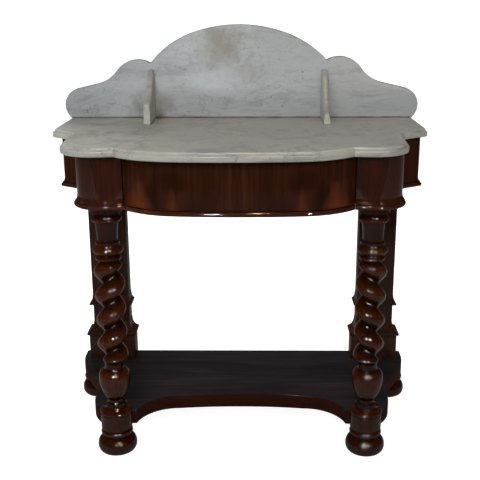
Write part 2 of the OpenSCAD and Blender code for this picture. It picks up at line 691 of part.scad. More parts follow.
// ---------- pilasters ----------
module post_tenon_at(z, h, gap)
    translate([post_inner + post_tenon_in - gap, -post_tenon_set - post_tenon - gap, z])
        cube([post_in - 2 * (post_tenon_in - gap), post_tenon + 2 * gap, h]);
plinth_tenon = 25;
module pilaster(s) color(dark_mahogany) centred() side(s) {
    translate([post_inner, -post_t, shelf_z + plinth_h])
        cube([post_in, post_t, frieze_z - shelf_z - plinth_h]);
    post_tenon_at(frieze_z - 1, post_tenon_l + 1, 0);
    post_tenon_at(shelf_z + plinth_h - plinth_tenon, plinth_tenon + 1, 0);
}
module pilaster_left() pilaster(-1);
module pilaster_right() pilaster(1);

module plinth(s) color(dark_mahogany) centred() side(s) difference() {
    translate([post_inner - plinth_out, -post_t - plinth_out, shelf_z])
        cube([post_in + 2 * plinth_out, post_t + plinth_out, plinth_h]);
    post_tenon_at(shelf_z + plinth_h - plinth_tenon - 1, plinth_tenon + 3, bore_fit);
    shelf_screw_places() cylinder(r = shelf_screw_r + bore_fit, h = shelf_screw_up + 2);
}
module plinth_left() plinth(-1);
module plinth_right() plinth(1);

// a moulding round the front and both sides of a post, mitred where its runs meet
module post_moulding(s, z, prof) color(dark_mahogany) centred() side(s) difference() {
    h = prof[len(prof) - 1].y;
    intersection() {
        translate([post_inner - post_in, 0, z]) rotate([90, 0, 90]) linear_extrude(3 * post_in)
            polygon(concat([[0, 0]], [for (q = prof) [-post_t - q.x, q.y]], [[0, h]]));
        translate([0, 0, z]) rotate([90, 0, 0]) linear_extrude(post_t + post_in)
            polygon(concat([for (q = prof) [post_outer + q.x, q.y]],
                [for (q = back(prof)) [post_inner - q.x, q.y]]));
    }
    translate([post_inner - fit, -post_t - fit, z - 1]) cube([post_in + 2 * fit, post_t + 1, h + 2]);
}

// a hollow that flares down to a sharp lip, h high and p out, undercut to foot
function flare(h, p, lip, foot) = concat([[foot, 0], [p - 1, 1], [p, 3], [p - 1.2, lip]],
    rest(hollow([p - 1.2, lip], [0.8, h - 2])), [[0.8, h]]);

module cap_moulding(s) post_moulding(s, shelf_z + cap_z, flare(cap_h, cap_out, 5, 1));
module cap_moulding_left() cap_moulding(-1);
module cap_moulding_right() cap_moulding(1);
module base_moulding(s) post_moulding(s, shelf_z + plinth_h, flare(base_mould_h, base_out, 8, plinth_out));
module base_moulding_left() base_moulding(-1);
module base_moulding_right() base_moulding(1);

// ---------- platform ----------
// right half of the shelf: shallow hollow in front, quick hollow beside the leg, round lobe behind it,
// ogee side and square back
hollow_set = 147;   // distance from a leg to where the shallow hollow turns into the quick one
hollow_rise = 10;   // how much the shallow hollow has come forward by then
hollow_r = 102;
lobe_side_r = 115;
lobe_set = 83;      // the lobe's centre lies this far behind the leg
ogee_in_r = 96;
ogee_in_set = 129;
ogee_out_r = 190;
ogee_out_y = 30;
shelf_corner_r = 6;
function shelf_half_pts() = let (
        hx = leg_x - hollow_set,
        h1 = [hx, -shelf_front - hollow_rise],
        lx = leg_x + shelf_lobe) concat(
    [for (i = [0:4]) [hx * i / 5, -shelf_front - hollow_rise * pow(i / 5, 2)]],
    arc(h1 - [0, hollow_r], hollow_r, 90, 14, 12),
    [[leg_x - drum_r / 2, -leg_cy + drum_r / 6], [leg_x + drum_r / 2, -leg_cy]],
    arc([lx - lobe_side_r, -leg_cy + lobe_set], lobe_side_r, -44, 0, 8),
    arc([lx + ogee_in_r, -leg_cy + ogee_in_set], ogee_in_r, 180, 152, 5),
    arc([shelf_side - ogee_out_r, -ogee_out_y], ogee_out_r, -30, 0, 7),
    arc([shelf_side - shelf_corner_r, -shelf_corner_r], shelf_corner_r, 0, 90, 3));

module platform_shelf() color(dark_mahogany) centred() difference() {
    translate([0, 0, shelf_z - shelf_t]) linear_extrude(shelf_t) polygon(whole(shelf_half_pts()));
    for (s = [-1, 1]) side(s) {
        translate([leg_x, -leg_cy, 0]) cylinder(r = drum_r + bore_fit, h = shelf_z + 1);
        translate([foot_x, -back_foot_y, 0])
            cylinder(r = spigot_r + bore_fit, h = foot_z + 2 * shelf_t / 3 + 2);
        shelf_dowel_place() cylinder(r = shelf_dowel_r + bore_fit, h = shelf_dowel_l + 10);
        translate([0, 0, -shelf_t]) shelf_screw_places() {
            translate([0, 0, -1]) cylinder(r = shelf_screw_r + bore_fit, h = shelf_t + 2);
            translate([0, 0, -0.1]) cylinder(r = 2 * shelf_screw_r + bore_fit, h = shelf_screw_head + 0.2);
        }
    }
}

// a level wooden dowel from each front drum into the shelf
shelf_dowel_r = 5;
shelf_dowel_l = 50;
module shelf_dowel_place()
    translate([leg_x, -leg_cy, shelf_z - shelf_t / 2]) rotate(120) rotate([0, 90, 0])
        translate([0, 0, drum_r - shelf_dowel_l / 2 + 6]) children();
module shelf_dowels() color(deal) centred()
    for (s = [-1, 1]) side(s)
        shelf_dowel_place() translate([0, 0, 1]) cylinder(r = shelf_dowel_r, h = shelf_dowel_l);

shelf_screw_r = 2.5;
shelf_screw_up = 20;
shelf_screw_head = 3.4;
module shelf_screw_places()
    for (k = [0.1, 0.4]) translate([post_inner + k * post_in, -2 * post_t / 3, shelf_z]) children();
module shelf_screws() color(steel) centred()
    for (s = [-1, 1]) side(s) translate([0, 0, -shelf_t]) shelf_screw_places() {
        cylinder(r = 2 * shelf_screw_r, h = shelf_screw_head);
        cylinder(r = shelf_screw_r, h = shelf_t + shelf_screw_up);
    }

marble_top();
marble_splashback();
marble_bracket_left();
marble_bracket_right();
marble_dowels();
turret_left();
turret_right();
end_block_left();
end_block_right();
side_rail_left();
side_rail_right();
back_rail();
front_top_rail();
front_bottom_rail();
centre_bearer();
glue_blocks();
turret_moulding_left();
turret_moulding_right();
end_moulding_left();
end_moulding_right();
drawer_runner_left();
drawer_runner_right();
drawer_guide_left();
drawer_guide_right();
drawer_kicker_left();
drawer_kicker_right();
drawer_stops();
drawer_front();
drawer_front_moulding();
drawer_side_left();
drawer_side_right();
drawer_back();
drawer_bottom();
drawer_bottom_screws();
twist_leg_left();
twist_leg_right();
front_foot_left();
front_foot_right();
pilaster_left();
pilaster_right();
cap_moulding_left();
cap_moulding_right();
base_moulding_left();
base_moulding_right();
plinth_left();
plinth_right();
platform_shelf();
shelf_dowels();
shelf_screws();
back_foot_left();
back_foot_right();
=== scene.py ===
from math import asin, atan2, cos, degrees, pi, radians, sin, sqrt, tan

import bmesh
import bpy
from bpy.props import FloatProperty, FloatVectorProperty, PointerProperty
from mathutils import Matrix, Vector
from mathutils.geometry import interpolate_bezier


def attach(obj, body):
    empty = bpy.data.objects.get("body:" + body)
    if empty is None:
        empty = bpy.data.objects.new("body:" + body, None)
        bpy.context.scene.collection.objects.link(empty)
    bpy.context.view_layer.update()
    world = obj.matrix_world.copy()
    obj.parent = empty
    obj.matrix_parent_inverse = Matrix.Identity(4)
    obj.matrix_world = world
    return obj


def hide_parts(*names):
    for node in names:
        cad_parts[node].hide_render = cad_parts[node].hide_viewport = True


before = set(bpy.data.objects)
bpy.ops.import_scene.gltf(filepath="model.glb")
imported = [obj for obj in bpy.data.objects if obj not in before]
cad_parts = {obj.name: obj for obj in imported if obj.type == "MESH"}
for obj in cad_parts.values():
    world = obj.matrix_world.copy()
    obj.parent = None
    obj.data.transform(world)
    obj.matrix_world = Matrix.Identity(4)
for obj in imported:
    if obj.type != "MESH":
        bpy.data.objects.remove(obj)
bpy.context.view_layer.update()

bl_info = {
    "name": "Washstand with marble top",
    "version": (1, 0, 0),
    "blender": (4, 5, 0),
    "location": "3D View > Sidebar > Washstand",
    "description": "Dresses the packed washstand in marble, mahogany and turned legs",
    "category": "Object",
}

MM = 0.001
WELD = 1e-6
AROUND = 96


# ---------- sizes and colours ----------
def length(name, value, what):
    """A length of value millimetres that can be changed in the sidebar."""
    return FloatProperty(name=name, description=what, default=value * MM, unit="LENGTH", precision=4)


def tint(name, value, what):
    """A colour that can be changed in the sidebar."""
    return FloatVectorProperty(name=name, description=what, default=value, size=3, min=0, max=1,
                               subtype="COLOR")


class MarbleSizes(bpy.types.PropertyGroup):
    width: length("Width", 910, "Width of the slab over the ears")
    height: length("Height", 767, "Height of the slab's top face")
    thick: length("Thickness", 21, "Thickness of the slab")
    overhang: length("Overhang", 22, "How far the slab stands out past the frieze")
    shift: length("Slab shift", -13, "How far the slab's front sits off the turrets, to the right")
    ear_set: length("Ear setback", 14, "How far the slab's ears are cut back")
    ear_trim: length("Ear trim", 6, "How much shorter the right ear is")
    roll: length("Roll", 14.4, "Height of the roll on the slab's edge")
    splash_h: length("Splash height", 236, "Height of the splashback at the top of its arch")
    splash_t: length("Splash thickness", 22, "Thickness of the splashback")
    arch_shift: length("Arch shift", -8, "How far the arch stands off the middle")
    cusp_h: length("Cusp height", 146.5, "Middle height of the cusps between arch and shoulders")
    lift: length("Lift", 3.5, "How much higher the right cusp and shoulder are, and lower the left ones")
    cusp_x: length("Cusp", 224, "From the arch's middle to a cusp")
    lobe_r: length("Lobe radius", 44, "Radius of the round end lobes")
    bracket_shift: length("Bracket shift", -10, "How far the pair of brackets stands off the middle")
    bracket_x: length("Bracket place", 222, "From the middle of the pair to a bracket")
    bracket_h: length("Bracket height", 125, "Height of a bracket at the splashback")
    bracket_d: length("Bracket depth", 126, "How far a bracket reaches forward")
    bracket_t: length("Bracket thickness", 16, "Thickness of a bracket")


class FriezeSizes(bpy.types.PropertyGroup):
    height: length("Height", 121, "Height of the frieze and its turrets")
    bow_depth: length("Depth", 492, "From the back to the front of the bow")
    bow_r: length("Bow radius", 1400, "Radius of the bow's shallow middle")
    bow_end_r: length("Bow end radius", 170, "Radius of the quicker curve at the bow's ends")
    front_half: length("Drawer half", 253, "Half length of the drawer front")
    turret_r: length("Turret radius", 60, "Radius of a turret's corner")
    turret_face_r: length("Turret face radius", 160, "Radius of the flatter front of a turret")
    turret_y: length("Turret place", 375, "Depth of a turret's centre from the back")
    ear_y: length("Ear place", 197, "Depth of the end block's corner from the back")
    cove_r: length("Cove radius", 72, "Radius of the cove behind a turret")
    mould_out: length("Moulding reach", 9, "How far the bottom moulding stands out")


class LegSizes(bpy.types.PropertyGroup):
    x: length("Leg place", 304, "From the middle to a leg's axis")
    y: length("Leg depth", 368, "Depth of a leg's axis from the back")
    crest_r: length("Crest radius", 35.5, "Radius of the twist over its crest")
    root_r: length("Root radius", 17.5, "Radius of the twist in its hollow")
    neck_r: length("Neck radius", 21.5, "Radius of the necks at the twist's ends")
    pitch: length("Pitch", 59.8, "Height of one turn of the twist")
    crest_z: length("Crest height", 461.3, "Height where the crest points outward")
    twist_low: length("Twist foot", 235, "Height where the twist begins")
    twist_high: length("Twist head", 491, "Height where the twist ends")


class PlatformSizes(bpy.types.PropertyGroup):
    post_x: length("Pilaster place", 362.3, "From the middle to a pilaster's middle")
    post_w: length("Pilaster width", 98.6, "Width of a pilaster")
    post_t: length("Pilaster thickness", 48, "Thickness of a pilaster")
    plinth_h: length("Plinth height", 72, "Height of a plinth over the shelf")
    plinth_out: length("Plinth reach", 13, "How far a plinth stands out from its pilaster")
    base_h: length("Base height", 35, "Height of the base moulding")
    base_out: length("Base reach", 18, "How far the base moulding stands out")
    cap_z: length("Cap place", 158, "Height of the cap moulding over the shelf")
    cap_h: length("Cap height", 26, "Height of the cap moulding")
    cap_out: length("Cap reach", 9, "How far the cap moulding stands out")
    shelf_z: length("Shelf height", 100, "Height of the shelf's top face")
    shelf_t: length("Shelf thickness", 36, "Thickness of the shelf")
    shelf_d: length("Shelf depth", 272, "Depth of the shelf in the middle of its hollow")
    shelf_half: length("Shelf half", 444, "Half width of the shelf at the back")
    lobe_half: length("Shelf lobe half", 370, "Half width over the shelf's front lobes")
    foot_x: length("Back foot place", 402, "From the middle to a back foot")
    foot_y: length("Back foot depth", 58, "Depth of a back foot")


class Finishes(bpy.types.PropertyGroup):
    marble: tint("Splash marble", (0.300, 0.315, 0.323), "Ground colour of the splashback and brackets")
    slab: tint("Slab marble", (0.395, 0.390, 0.350), "Ground colour of the slab")
    bracket: tint("Bracket marble", (0.33, 0.322, 0.285), "Ground colour of the brackets")
    vein: tint("Vein", (0.17, 0.17, 0.18), "Colour of the marble's veins")
    # the stain colour also makes a painted shadow beside the left bracket
    stain: tint("Stain", (0.115, 0.088, 0.046), "Rusty stains on the marble")
    veneer: tint("Veneer", (0.042, 0.0125, 0.0060), "Polished mahogany veneer")
    turret: tint("Turret veneer", (0.033, 0.0065, 0.0015), "Highly polished veneer of the turrets")
    flame: tint("Flame", (0.108, 0.023, 0.0045), "Bright tongues of the drawer front's figure")
    turned: tint("Turned wood", (0.049, 0.0105, 0.0020), "Polished turned mahogany")
    dull: tint("Dull wood", (0.037, 0.0150, 0.0090), "Dull wood of the pilasters")
    # the shelf top's blue-grey is a painted reflection of the room over the dark polish
    shelf: tint("Shelf wood", (0.0200, 0.0165, 0.0178), "Dark polish of the shelf's top")
    lining: tint("Lining", (0.20, 0.11, 0.055), "Bare wood inside the drawer and the carcass")


GROUPS = {"marble": MarbleSizes, "frieze": FriezeSizes, "leg": LegSizes, "platform": PlatformSizes,
          "finish": Finishes}


# ---------- drawing and skinning ----------
class Pen:
    """Draws a chain of edges in a level plane: lines extrude the last point, arcs spin it."""

    def __init__(self, bm, start, up=0.0):
        self.bm, self.up = bm, up
        self.first = self.tip = bm.verts.new((*start, up))

    def line(self, *points):
        for x, y in points:
            self.tip = bmesh.ops.extrude_vert_indiv(self.bm, verts=[self.tip])["verts"][0]
            self.tip.co = (x, y, self.up)

    def arc(self, centre, end, steps):
        """Turns the last point about centre, the shorter way, to the angle end in degrees."""
        middle = Vector((*centre, self.up))
        old = self.tip.co - middle
        turn = (radians(end) - atan2(old.y, old.x) + pi) % (2 * pi) - pi
        made = bmesh.ops.spin(self.bm, geom=[self.tip], cent=middle, axis=(0, 0, 1), angle=turn, steps=steps)
        self.tip = points(made["geom_last"])[0]

    def curve(self, leave, arrive, end, steps=8):
        """A smooth curve to end, leaving towards one point and arriving from another."""
        way = interpolate_bezier(self.tip.co, *[(*p, self.up) for p in (leave, arrive, end)], steps + 1)
        self.line(*[p.xy for p in way[1:]])

    def round(self, centre, r, start, end, steps):
        """Goes straight to the start of a round stretch, and along it to its end."""
        self.line(Vector(centre) + r * Vector((cos(radians(start)), sin(radians(start)))))
        self.arc(centre, end, steps)

    def close(self):
        bmesh.ops.contextual_create(self.bm, geom=[self.tip, self.first])


def points(geom):
    return [g for g in geom if isinstance(g, bmesh.types.BMVert)]


def rotate(bm, angle, axis, verts=None):
    """Turns a shape, or some of its points, about the origin by an angle in degrees."""
    bmesh.ops.rotate(bm, verts=verts or bm.verts, cent=(0, 0, 0),
                     matrix=Matrix.Rotation(radians(angle), 3, axis))


def scale(bm, x, y, z):
    bmesh.ops.scale(bm, vec=(x, y, z), verts=bm.verts)


def slide(bm, x=0.0, y=0.0, z=0.0, verts=None):
    bmesh.ops.translate(bm, verts=verts or bm.verts, vec=(x, y, z))


def weld(bm, verts=None):
    bmesh.ops.remove_doubles(bm, verts=verts or bm.verts, dist=WELD)


def upright(bm, plane="XZ"):
    """Stands what was drawn level up in the XZ plane, or in the YZ plane."""
    rotate(bm, 90, "X")
    if plane == "YZ":
        rotate(bm, -90, "Z")


def both_halves(bm):
    """Mirrors what stands right of the middle and joins the halves."""
    bmesh.ops.mirror(bm, geom=bm.verts[:] + bm.edges[:] + bm.faces[:], matrix=Matrix.Identity(4),
                     merge_dist=WELD, axis="X")
    inner = [f for f in bm.faces if all(abs(v.co.x) < WELD for v in f.verts)]
    bmesh.ops.delete(bm, geom=inner, context="FACES")


def cap(bm):
    """Closes what is open."""
    weld(bm)
    bmesh.ops.holes_fill(bm, edges=[e for e in bm.edges if e.is_boundary], sides=0)


def skin(bm, draw, profile, ring=False):
    """Draws the same outline for each (out, up) of a profile and bridges the rows."""
    rows = []
    for out, up in profile:
        old = set(bm.edges)
        draw(bm, out, up)
        rows.append([e for e in bm.edges if e not in old])
    for one, two in zip(rows, rows[1:] + ([rows[0]] if ring else [])):
        bmesh.ops.bridge_loops(bm, edges=one + two)


def thicken(bm, height):
    """Fills the closed outline that was drawn and extrudes it upwards."""
    face = bmesh.ops.contextual_create(bm, geom=bm.edges[:])["faces"][0]
    slide(bm, z=height, verts=points(bmesh.ops.extrude_face_region(bm, geom=[face])["geom"]))


def soften(bm, offset, segments=2, angle=30, pick=lambda e: True, clamp=True):
    """Rounds the sharp edges."""
    bmesh.ops.recalc_face_normals(bm, faces=bm.faces)
    edges = [e for e in bm.edges if e.is_manifold and e.calc_face_angle(0) > radians(angle) and pick(e)]
    bmesh.ops.bevel(bm, geom=edges, offset=offset, offset_type="OFFSET", segments=segments,
                    profile=0.5, affect="EDGES", clamp_overlap=clamp, material=-1)


def turn(bm):
    """Turns a profile drawn level in millimetres, with the axis along Y, into a round solid about Z."""
    upright(bm)
    bmesh.ops.spin(bm, geom=bm.verts[:] + bm.edges[:], cent=(0, 0, 0), axis=(0, 0, 1),
                   angle=2 * pi, steps=AROUND, use_merge=True)
    weld(bm)
    scale(bm, MM, MM, MM)


def paint_shade_and_dark_polish(bm, share):
    """Marks how much painted shade, partly standing for dark polish in hollows, each point has."""
    layer = bm.verts.layers.float.get("hollow") or bm.verts.layers.float.new("hollow")
    for v in bm.verts:
        v[layer] = within(share(v.co))


def settle(name, bm):
    """Makes a bmesh an object of the scene."""
    mesh = bpy.data.meshes.new(name)
    bm.to_mesh(mesh)
    bm.free()
    obj = bpy.data.objects.new(name, mesh)
    bpy.context.scene.collection.objects.link(obj)
    return obj


def piece(name, bm, nodes, slot, sharp=32, finish=None, body="stand"):
    """Makes an object of a bmesh that was shaped with the back of the stand at Y = 0."""
    weld(bm)
    bmesh.ops.recalc_face_normals(bm, faces=bm.faces)
    slide(bm, y=Plan().depth / 2)
    obj = settle(name, bm)
    obj.data.shade_smooth()
    obj.data.set_sharp_from_angle(angle=radians(sharp))
    obj.data.materials.append((finish or FINISH[slot])())
    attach(obj, body)
    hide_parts(*nodes)
    return obj


def dress_faces(obj, finish, pick):
    """Gives the faces that pick chooses a second finish."""
    obj.data.materials.append(finish())
    for face in obj.data.polygons:
        if pick(face):
            face.material_index = 1


class Plan:
    """The frieze's outline. d is how far a line stands out from the wall; Y is 0 at the back."""

    def __init__(self):
        scene = bpy.context.scene
        f, m, leg = scene.frieze, scene.marble, scene.leg
        self.f, self.m = f, m
        self.depth = f.bow_depth + m.overhang
        self.bow_c = Vector((0, f.bow_r - f.bow_depth))
        self.bow_a = asin((f.front_half - 113 * MM) / f.bow_r)
        self.end_c = self.bow_c + (f.bow_r - f.bow_end_r) * Vector((sin(self.bow_a), -cos(self.bow_a)))
        self.turret_c = Vector((leg.x, -f.turret_y))
        self.face_c = self.turret_c + Vector((0, f.turret_face_r - f.turret_r))
        self.turret_in = f.front_half + 1.6 * MM
        self.turret_out = leg.x + f.turret_r
        self.turret_back = f.turret_y - 44 * MM
        ear_a, self.taper = radians(33), radians(2.5)
        n, s = Vector((sin(ear_a), -cos(ear_a))), Vector((cos(self.taper), sin(self.taper)))
        self.ear_n = n
        self.corner_k = Vector((s.y - n.y, n.x - s.x)) / (n.x * s.y - n.y * s.x)
        self.ear = Vector((m.width / 2 - m.overhang * self.corner_k.x, -f.ear_y))
        cove_x = self.turret_out + f.cove_r
        self.cove_c = Vector((cove_x, self.ear.y + (f.cove_r - (cove_x - self.ear.x) * n.x) / n.y))
        self.frieze_z = m.height - m.thick - f.height

    def corner(self, d):
        return self.ear + d * self.corner_k

    def side_x(self, y, d=0.0):
        return self.corner(d).x - (y - self.corner(d).y) * tan(self.taper)

    def cusp(self, d):
        """X where the bow and the turret's face cross."""
        r1, r2, v = self.f.bow_end_r + d, self.f.turret_face_r + d, self.face_c - self.end_c
        a = (r1 * r1 - r2 * r2 + v.length_squared) / (2 * v.length)
        return self.end_c.x + (a * v.x + sqrt(r1 * r1 - a * a) * v.y) / v.length

    def bow(self, bm, d, up, end_x):
        """Draws the bow from the middle to end_x."""
        pen = Pen(bm, (0, -self.f.bow_depth - d), up)
        pen.arc(self.bow_c, degrees(self.bow_a) - 90, 8)
        pen.arc(self.end_c, degrees(asin((end_x - self.end_c.x) / (self.f.bow_end_r + d))) - 90, 24)
        return pen

    def turret(self, pen):
        """Draws a turret's face and its round corner."""
        pen.arc(self.face_c, -90, 6)
        pen.arc(self.turret_c, 0, 24)

    def round_turret(self, bm, d, up):
        """Draws a turret from beside the drawer round to its back."""
        r = self.f.turret_face_r + d
        x = self.turret_in - self.face_c.x
        pen = Pen(bm, (self.turret_in, self.face_c.y - sqrt(r * r - x * x)), up)
        self.turret(pen)
        pen.line((self.turret_out + d, -self.turret_back))
        return pen

    def round_end(self, bm, d, up):
        """Draws an end block from behind its turret to the back."""
        pen = Pen(bm, (self.turret_out + d, -self.turret_back), up)
        pen.line((self.turret_out + d, self.cove_c.y))
        self.cove(pen, d)

    def cove(self, pen, d):
        """Draws the cove, the ear and the side, to the back."""
        pen.arc(self.cove_c, 123, 12)
        pen.line(self.corner(d), (self.side_x(0, d), 0))

    def outline(self, bm, d, up):
        """Draws the right half of the whole outline, from the front's middle to the back's."""
        pen = self.bow(bm, d, up, self.cusp(d))
        self.turret(pen)
        pen.line((self.turret_out + d, self.cove_c.y))
        self.cove(pen, d)
        pen.line((0, 0))

    def hand_cut(self, v, d):
        """Moves a point of the slab's outline, which doesn't follow the frieze exactly."""
        m, tip = self.m, self.corner(d)
        left_share, left_out = 0.75, 5 * MM
        back = -v.co.y / -tip.y
        front = within((-v.co.y + tip.y) / (self.f.turret_y + tip.y))
        rear = min(back, 1 - front)
        start = self.cove_c.x - (self.f.cove_r - d) * self.ear_n.x
        left = within((tip.x + v.co.x) / (tip.x - start)) * within(back)
        v.co.x += (m.shift * left_share * left - left_out * (1 - within(back)) if v.co.x < 0
                   else m.shift * front - m.ear_trim * rear)
        v.co.y += m.ear_set * rear

    def slab(self, bm, out, up):
        """Draws the slab's outline, out from its widest line."""
        d = self.m.overhang + out
        old = set(bm.verts)
        for s in (1, -1):
            known = set(bm.verts)
            self.outline(bm, d, up)
            for v in bm.verts:
                if v not in known:
                    v.co.x *= s
                    self.hand_cut(v, d)
        weld(bm, [v for v in bm.verts if v not in old])


def curl(x, y, r, start, end, steps):
    """Points (out, up) of a round stretch of a profile."""
    angles = [radians(start + (end - start) * i / steps) for i in range(steps + 1)]
    return [(x + r * cos(a), y + r * sin(a)) for a in angles]


def within(value):
    """Keeps a share between nothing and all."""
    return max(0, min(1, value))


# ---------- materials ----------
class Nodes:
    """Builds the nodes of a finish, or of the world. Numbers, colours, nodes and sockets may feed a socket."""

    def __init__(self, name="", world=None):
        self.material = world or bpy.data.materials.new(name)
        self.material.use_nodes = True
        self.tree = self.material.node_tree
        self.shader = self.tree.nodes["Background" if world else "Principled BSDF"]

    def add(self, kind, sockets=None, **settings):
        node = self.tree.nodes.new("ShaderNode" + kind)
        for key, value in settings.items():
            setattr(node, key, value)
        for key, value in (sockets or {}).items():
            self.join(value, node.inputs[key])
        return node

    def join(self, value, socket):
        if isinstance(value, bpy.types.NodeSocket):
            self.tree.links.new(value, socket)
        elif isinstance(value, bpy.types.Node):
            self.tree.links.new(value.outputs[0], socket)
        elif socket.type == "RGBA":
            socket.default_value = (*value, 1)
        else:
            socket.default_value = value

    def dress(self, **sockets):
        for key, value in sockets.items():
            self.join(value, self.shader.inputs[key.replace("_", " ")])

    def place(self, scale=(1, 1, 1), rotation=(0, 0, 0)):
        spot = self.add("TexCoord").outputs["Object"]
        return self.add("Mapping", {"Vector": spot, "Scale": scale, "Rotation": rotation})

    def noise(self, where, scale, detail=4, rough=0.5, warp=0):
        return self.add("TexNoise", {"Vector": where, "Scale": scale, "Detail": detail, "Roughness": rough,
                                     "Distortion": warp})

    def ramp(self, value, *stops):
        """A map of a value to greys: stops are (place, grey)."""
        node = self.add("ValToRGB", {"Fac": value})
        while len(node.color_ramp.elements) < len(stops):
            node.color_ramp.elements.new(0.5)
        for element, (place, grey) in zip(node.color_ramp.elements, stops):
            element.position = place
            element.color = (grey, grey, grey, 1)
        return node

    def mix(self, factor, a, b):
        node = self.add("Mix", data_type="RGBA")
        self.join(factor, node.inputs[0])
        self.join(a, node.inputs[6])
        self.join(b, node.inputs[7])
        return node.outputs[2]

    def math(self, operation, a, b=0.0, **more):
        return self.add("Math", {0: a, 1: b}, operation=operation, **more)

    def sum(self, a, b):
        return self.math("ADD", a, b)

    def times(self, a, b):
        return self.math("MULTIPLY", a, b)

    def span(self, value, low, high, start, end):
        """A share that goes smoothly from start to end while the value goes from low to high."""
        return self.add("MapRange", {"Value": value, "From Min": low, "From Max": high, "To Min": start,
                                     "To Max": end}, interpolation_type="SMOOTHSTEP")

    def vector(self, operation, a, b=(0, 0, 0)):
        return self.add("VectorMath", {0: a, 1: b}, operation=operation)

    def stretch(self, vector, scale):
        return self.vector("MULTIPLY", vector, scale)

    def parts(self, vector):
        return self.add("SeparateXYZ", {0: vector}).outputs

    def bump(self, height, distance, strength):
        return self.add("Bump", {"Height": height, "Distance": distance, "Strength": strength})


MADE = {}


def once(name, make):
    """A finish that is made at its first use and kept, so that like pieces share it."""
    def kept():
        if name not in MADE:
            MADE[name] = make()
        return MADE[name]
    return kept


def shade(colour, k):
    return tuple(min(1, c * k) for c in colour)


def ground_colour(tone, k):
    return shade(getattr(bpy.context.scene.finish, tone), k)


def marble(name, ground, polish, dirt_z):
    """Grey-white marble: soft clouds, slanting smudges and faint veins, dark flecks, old rust and a painted
    shadow beside the left bracket.
    """
    f = bpy.context.scene.finish
    n = Nodes(name)
    where = n.place()
    clouds = n.noise(where, 7, 5, 0.6)
    colour = n.mix(n.ramp(clouds, (0.3, 0), (0.72, 1)), shade(ground, 0.88), shade(ground, 1.07))
    mottle = n.noise(where, 38, 4, 0.65)
    colour = n.mix(n.ramp(mottle, (0.3, 0.16), (0.6, 0)), colour, shade(ground, 0.6))
    slant = (0, radians(36), radians(14))
    streaks = n.noise(n.place((7, 7, 30), slant), 1.4, 9, 0.7, 0.8)
    colour = n.mix(n.ramp(streaks, (0.50, 0), (0.72, 0.75)), colour, f.vein)
    patches = n.ramp(n.noise(where, 5.5, 3, 0.6), (0.45, 0), (0.60, 1))
    dashes = n.ramp(n.noise(n.place((30, 30, 120), slant), 1.2, 4, 0.7, 0.4), (0.60, 0), (0.70, 1))
    line = n.ramp(n.noise(n.place((1, 1, 1.7), (0, radians(-35), 0)), 5.5, 9, 0.62, 0.9),
                  (0.480, 0), (0.5, 1), (0.520, 0))
    flecks = n.ramp(n.noise(where, 150, 2, 0.6), (0.66, 0), (0.71, 1))
    for marks, depth, tone in ((dashes, 0.55, 0.7), (line, 0.5, 1), (flecks, 0.75, 0.35)):
        colour = n.mix(n.times(n.times(marks, patches), depth), colour, shade(f.vein, tone))
    # rust spots, and one painted shadow left of the left bracket, in the stain colour
    for middle, reach, depth in RUST_AND_SHADOW:
        spot = n.vector("DISTANCE", where, middle).outputs["Value"]
        edge = n.sum(spot, n.times(n.sum(n.noise(where, 28, 5, 0.65), -0.5), reach * 2.2))
        colour = n.mix(n.span(edge, 0.0, reach, depth, 0.0), colour, f.stain)
    if dirt_z:
        mask = n.span(n.parts(where)["Z"], dirt_z + 1 * MM, dirt_z + 6 * MM, 0.95, 0.0)
        mask = n.times(mask, n.ramp(n.noise(where, 30, 3), (0.3, 0.5), (0.6, 1)))
        colour = n.mix(mask, colour, shade(f.stain, 0.35))
    n.dress(Base_Color=colour, Roughness=n.ramp(clouds, (0.3, 0.34), (0.7, 0.46)), Specular_IOR_Level=0.05,
            Coat_Weight=polish, Coat_Roughness=0.12, Normal=n.bump(n.noise(where, 40, 4, 0.6), 0.6 * MM, 0.25))
    return n.material


# the rusty places, and at (-0.262, 0.80) a painted shadow left of the left bracket: the middle of each, how far
# it reaches and how strong it is
RUST_AND_SHADOW = (((-0.056, 0.235, 0.972), 0.044, 0.95), ((-0.050, 0.235, 0.955), 0.085, 0.78),
        ((-0.030, 0.235, 0.925), 0.065, 0.40), ((-0.215, 0.235, 0.767), 0.024, 0.80),
        ((0.222, 0.235, 0.767), 0.016, 0.60), ((-0.262, 0.235, 0.80), 0.045, 0.45),
        ((-0.19, 0.235, 0.80), 0.030, 0.40), ((-0.17, 0.235, 0.86), 0.045, 0.20),
        ((0.02, 0.235, 0.875), 0.06, 0.25))


def stone(name, tone, k=1.0, polish=0, dirty=False):
    """A marble in one of the ground colours. Dirt lies on it along the slab's top face."""
    return once(name, lambda: marble(name, ground_colour(tone, k), polish,
                                     bpy.context.scene.marble.height if dirty else None))


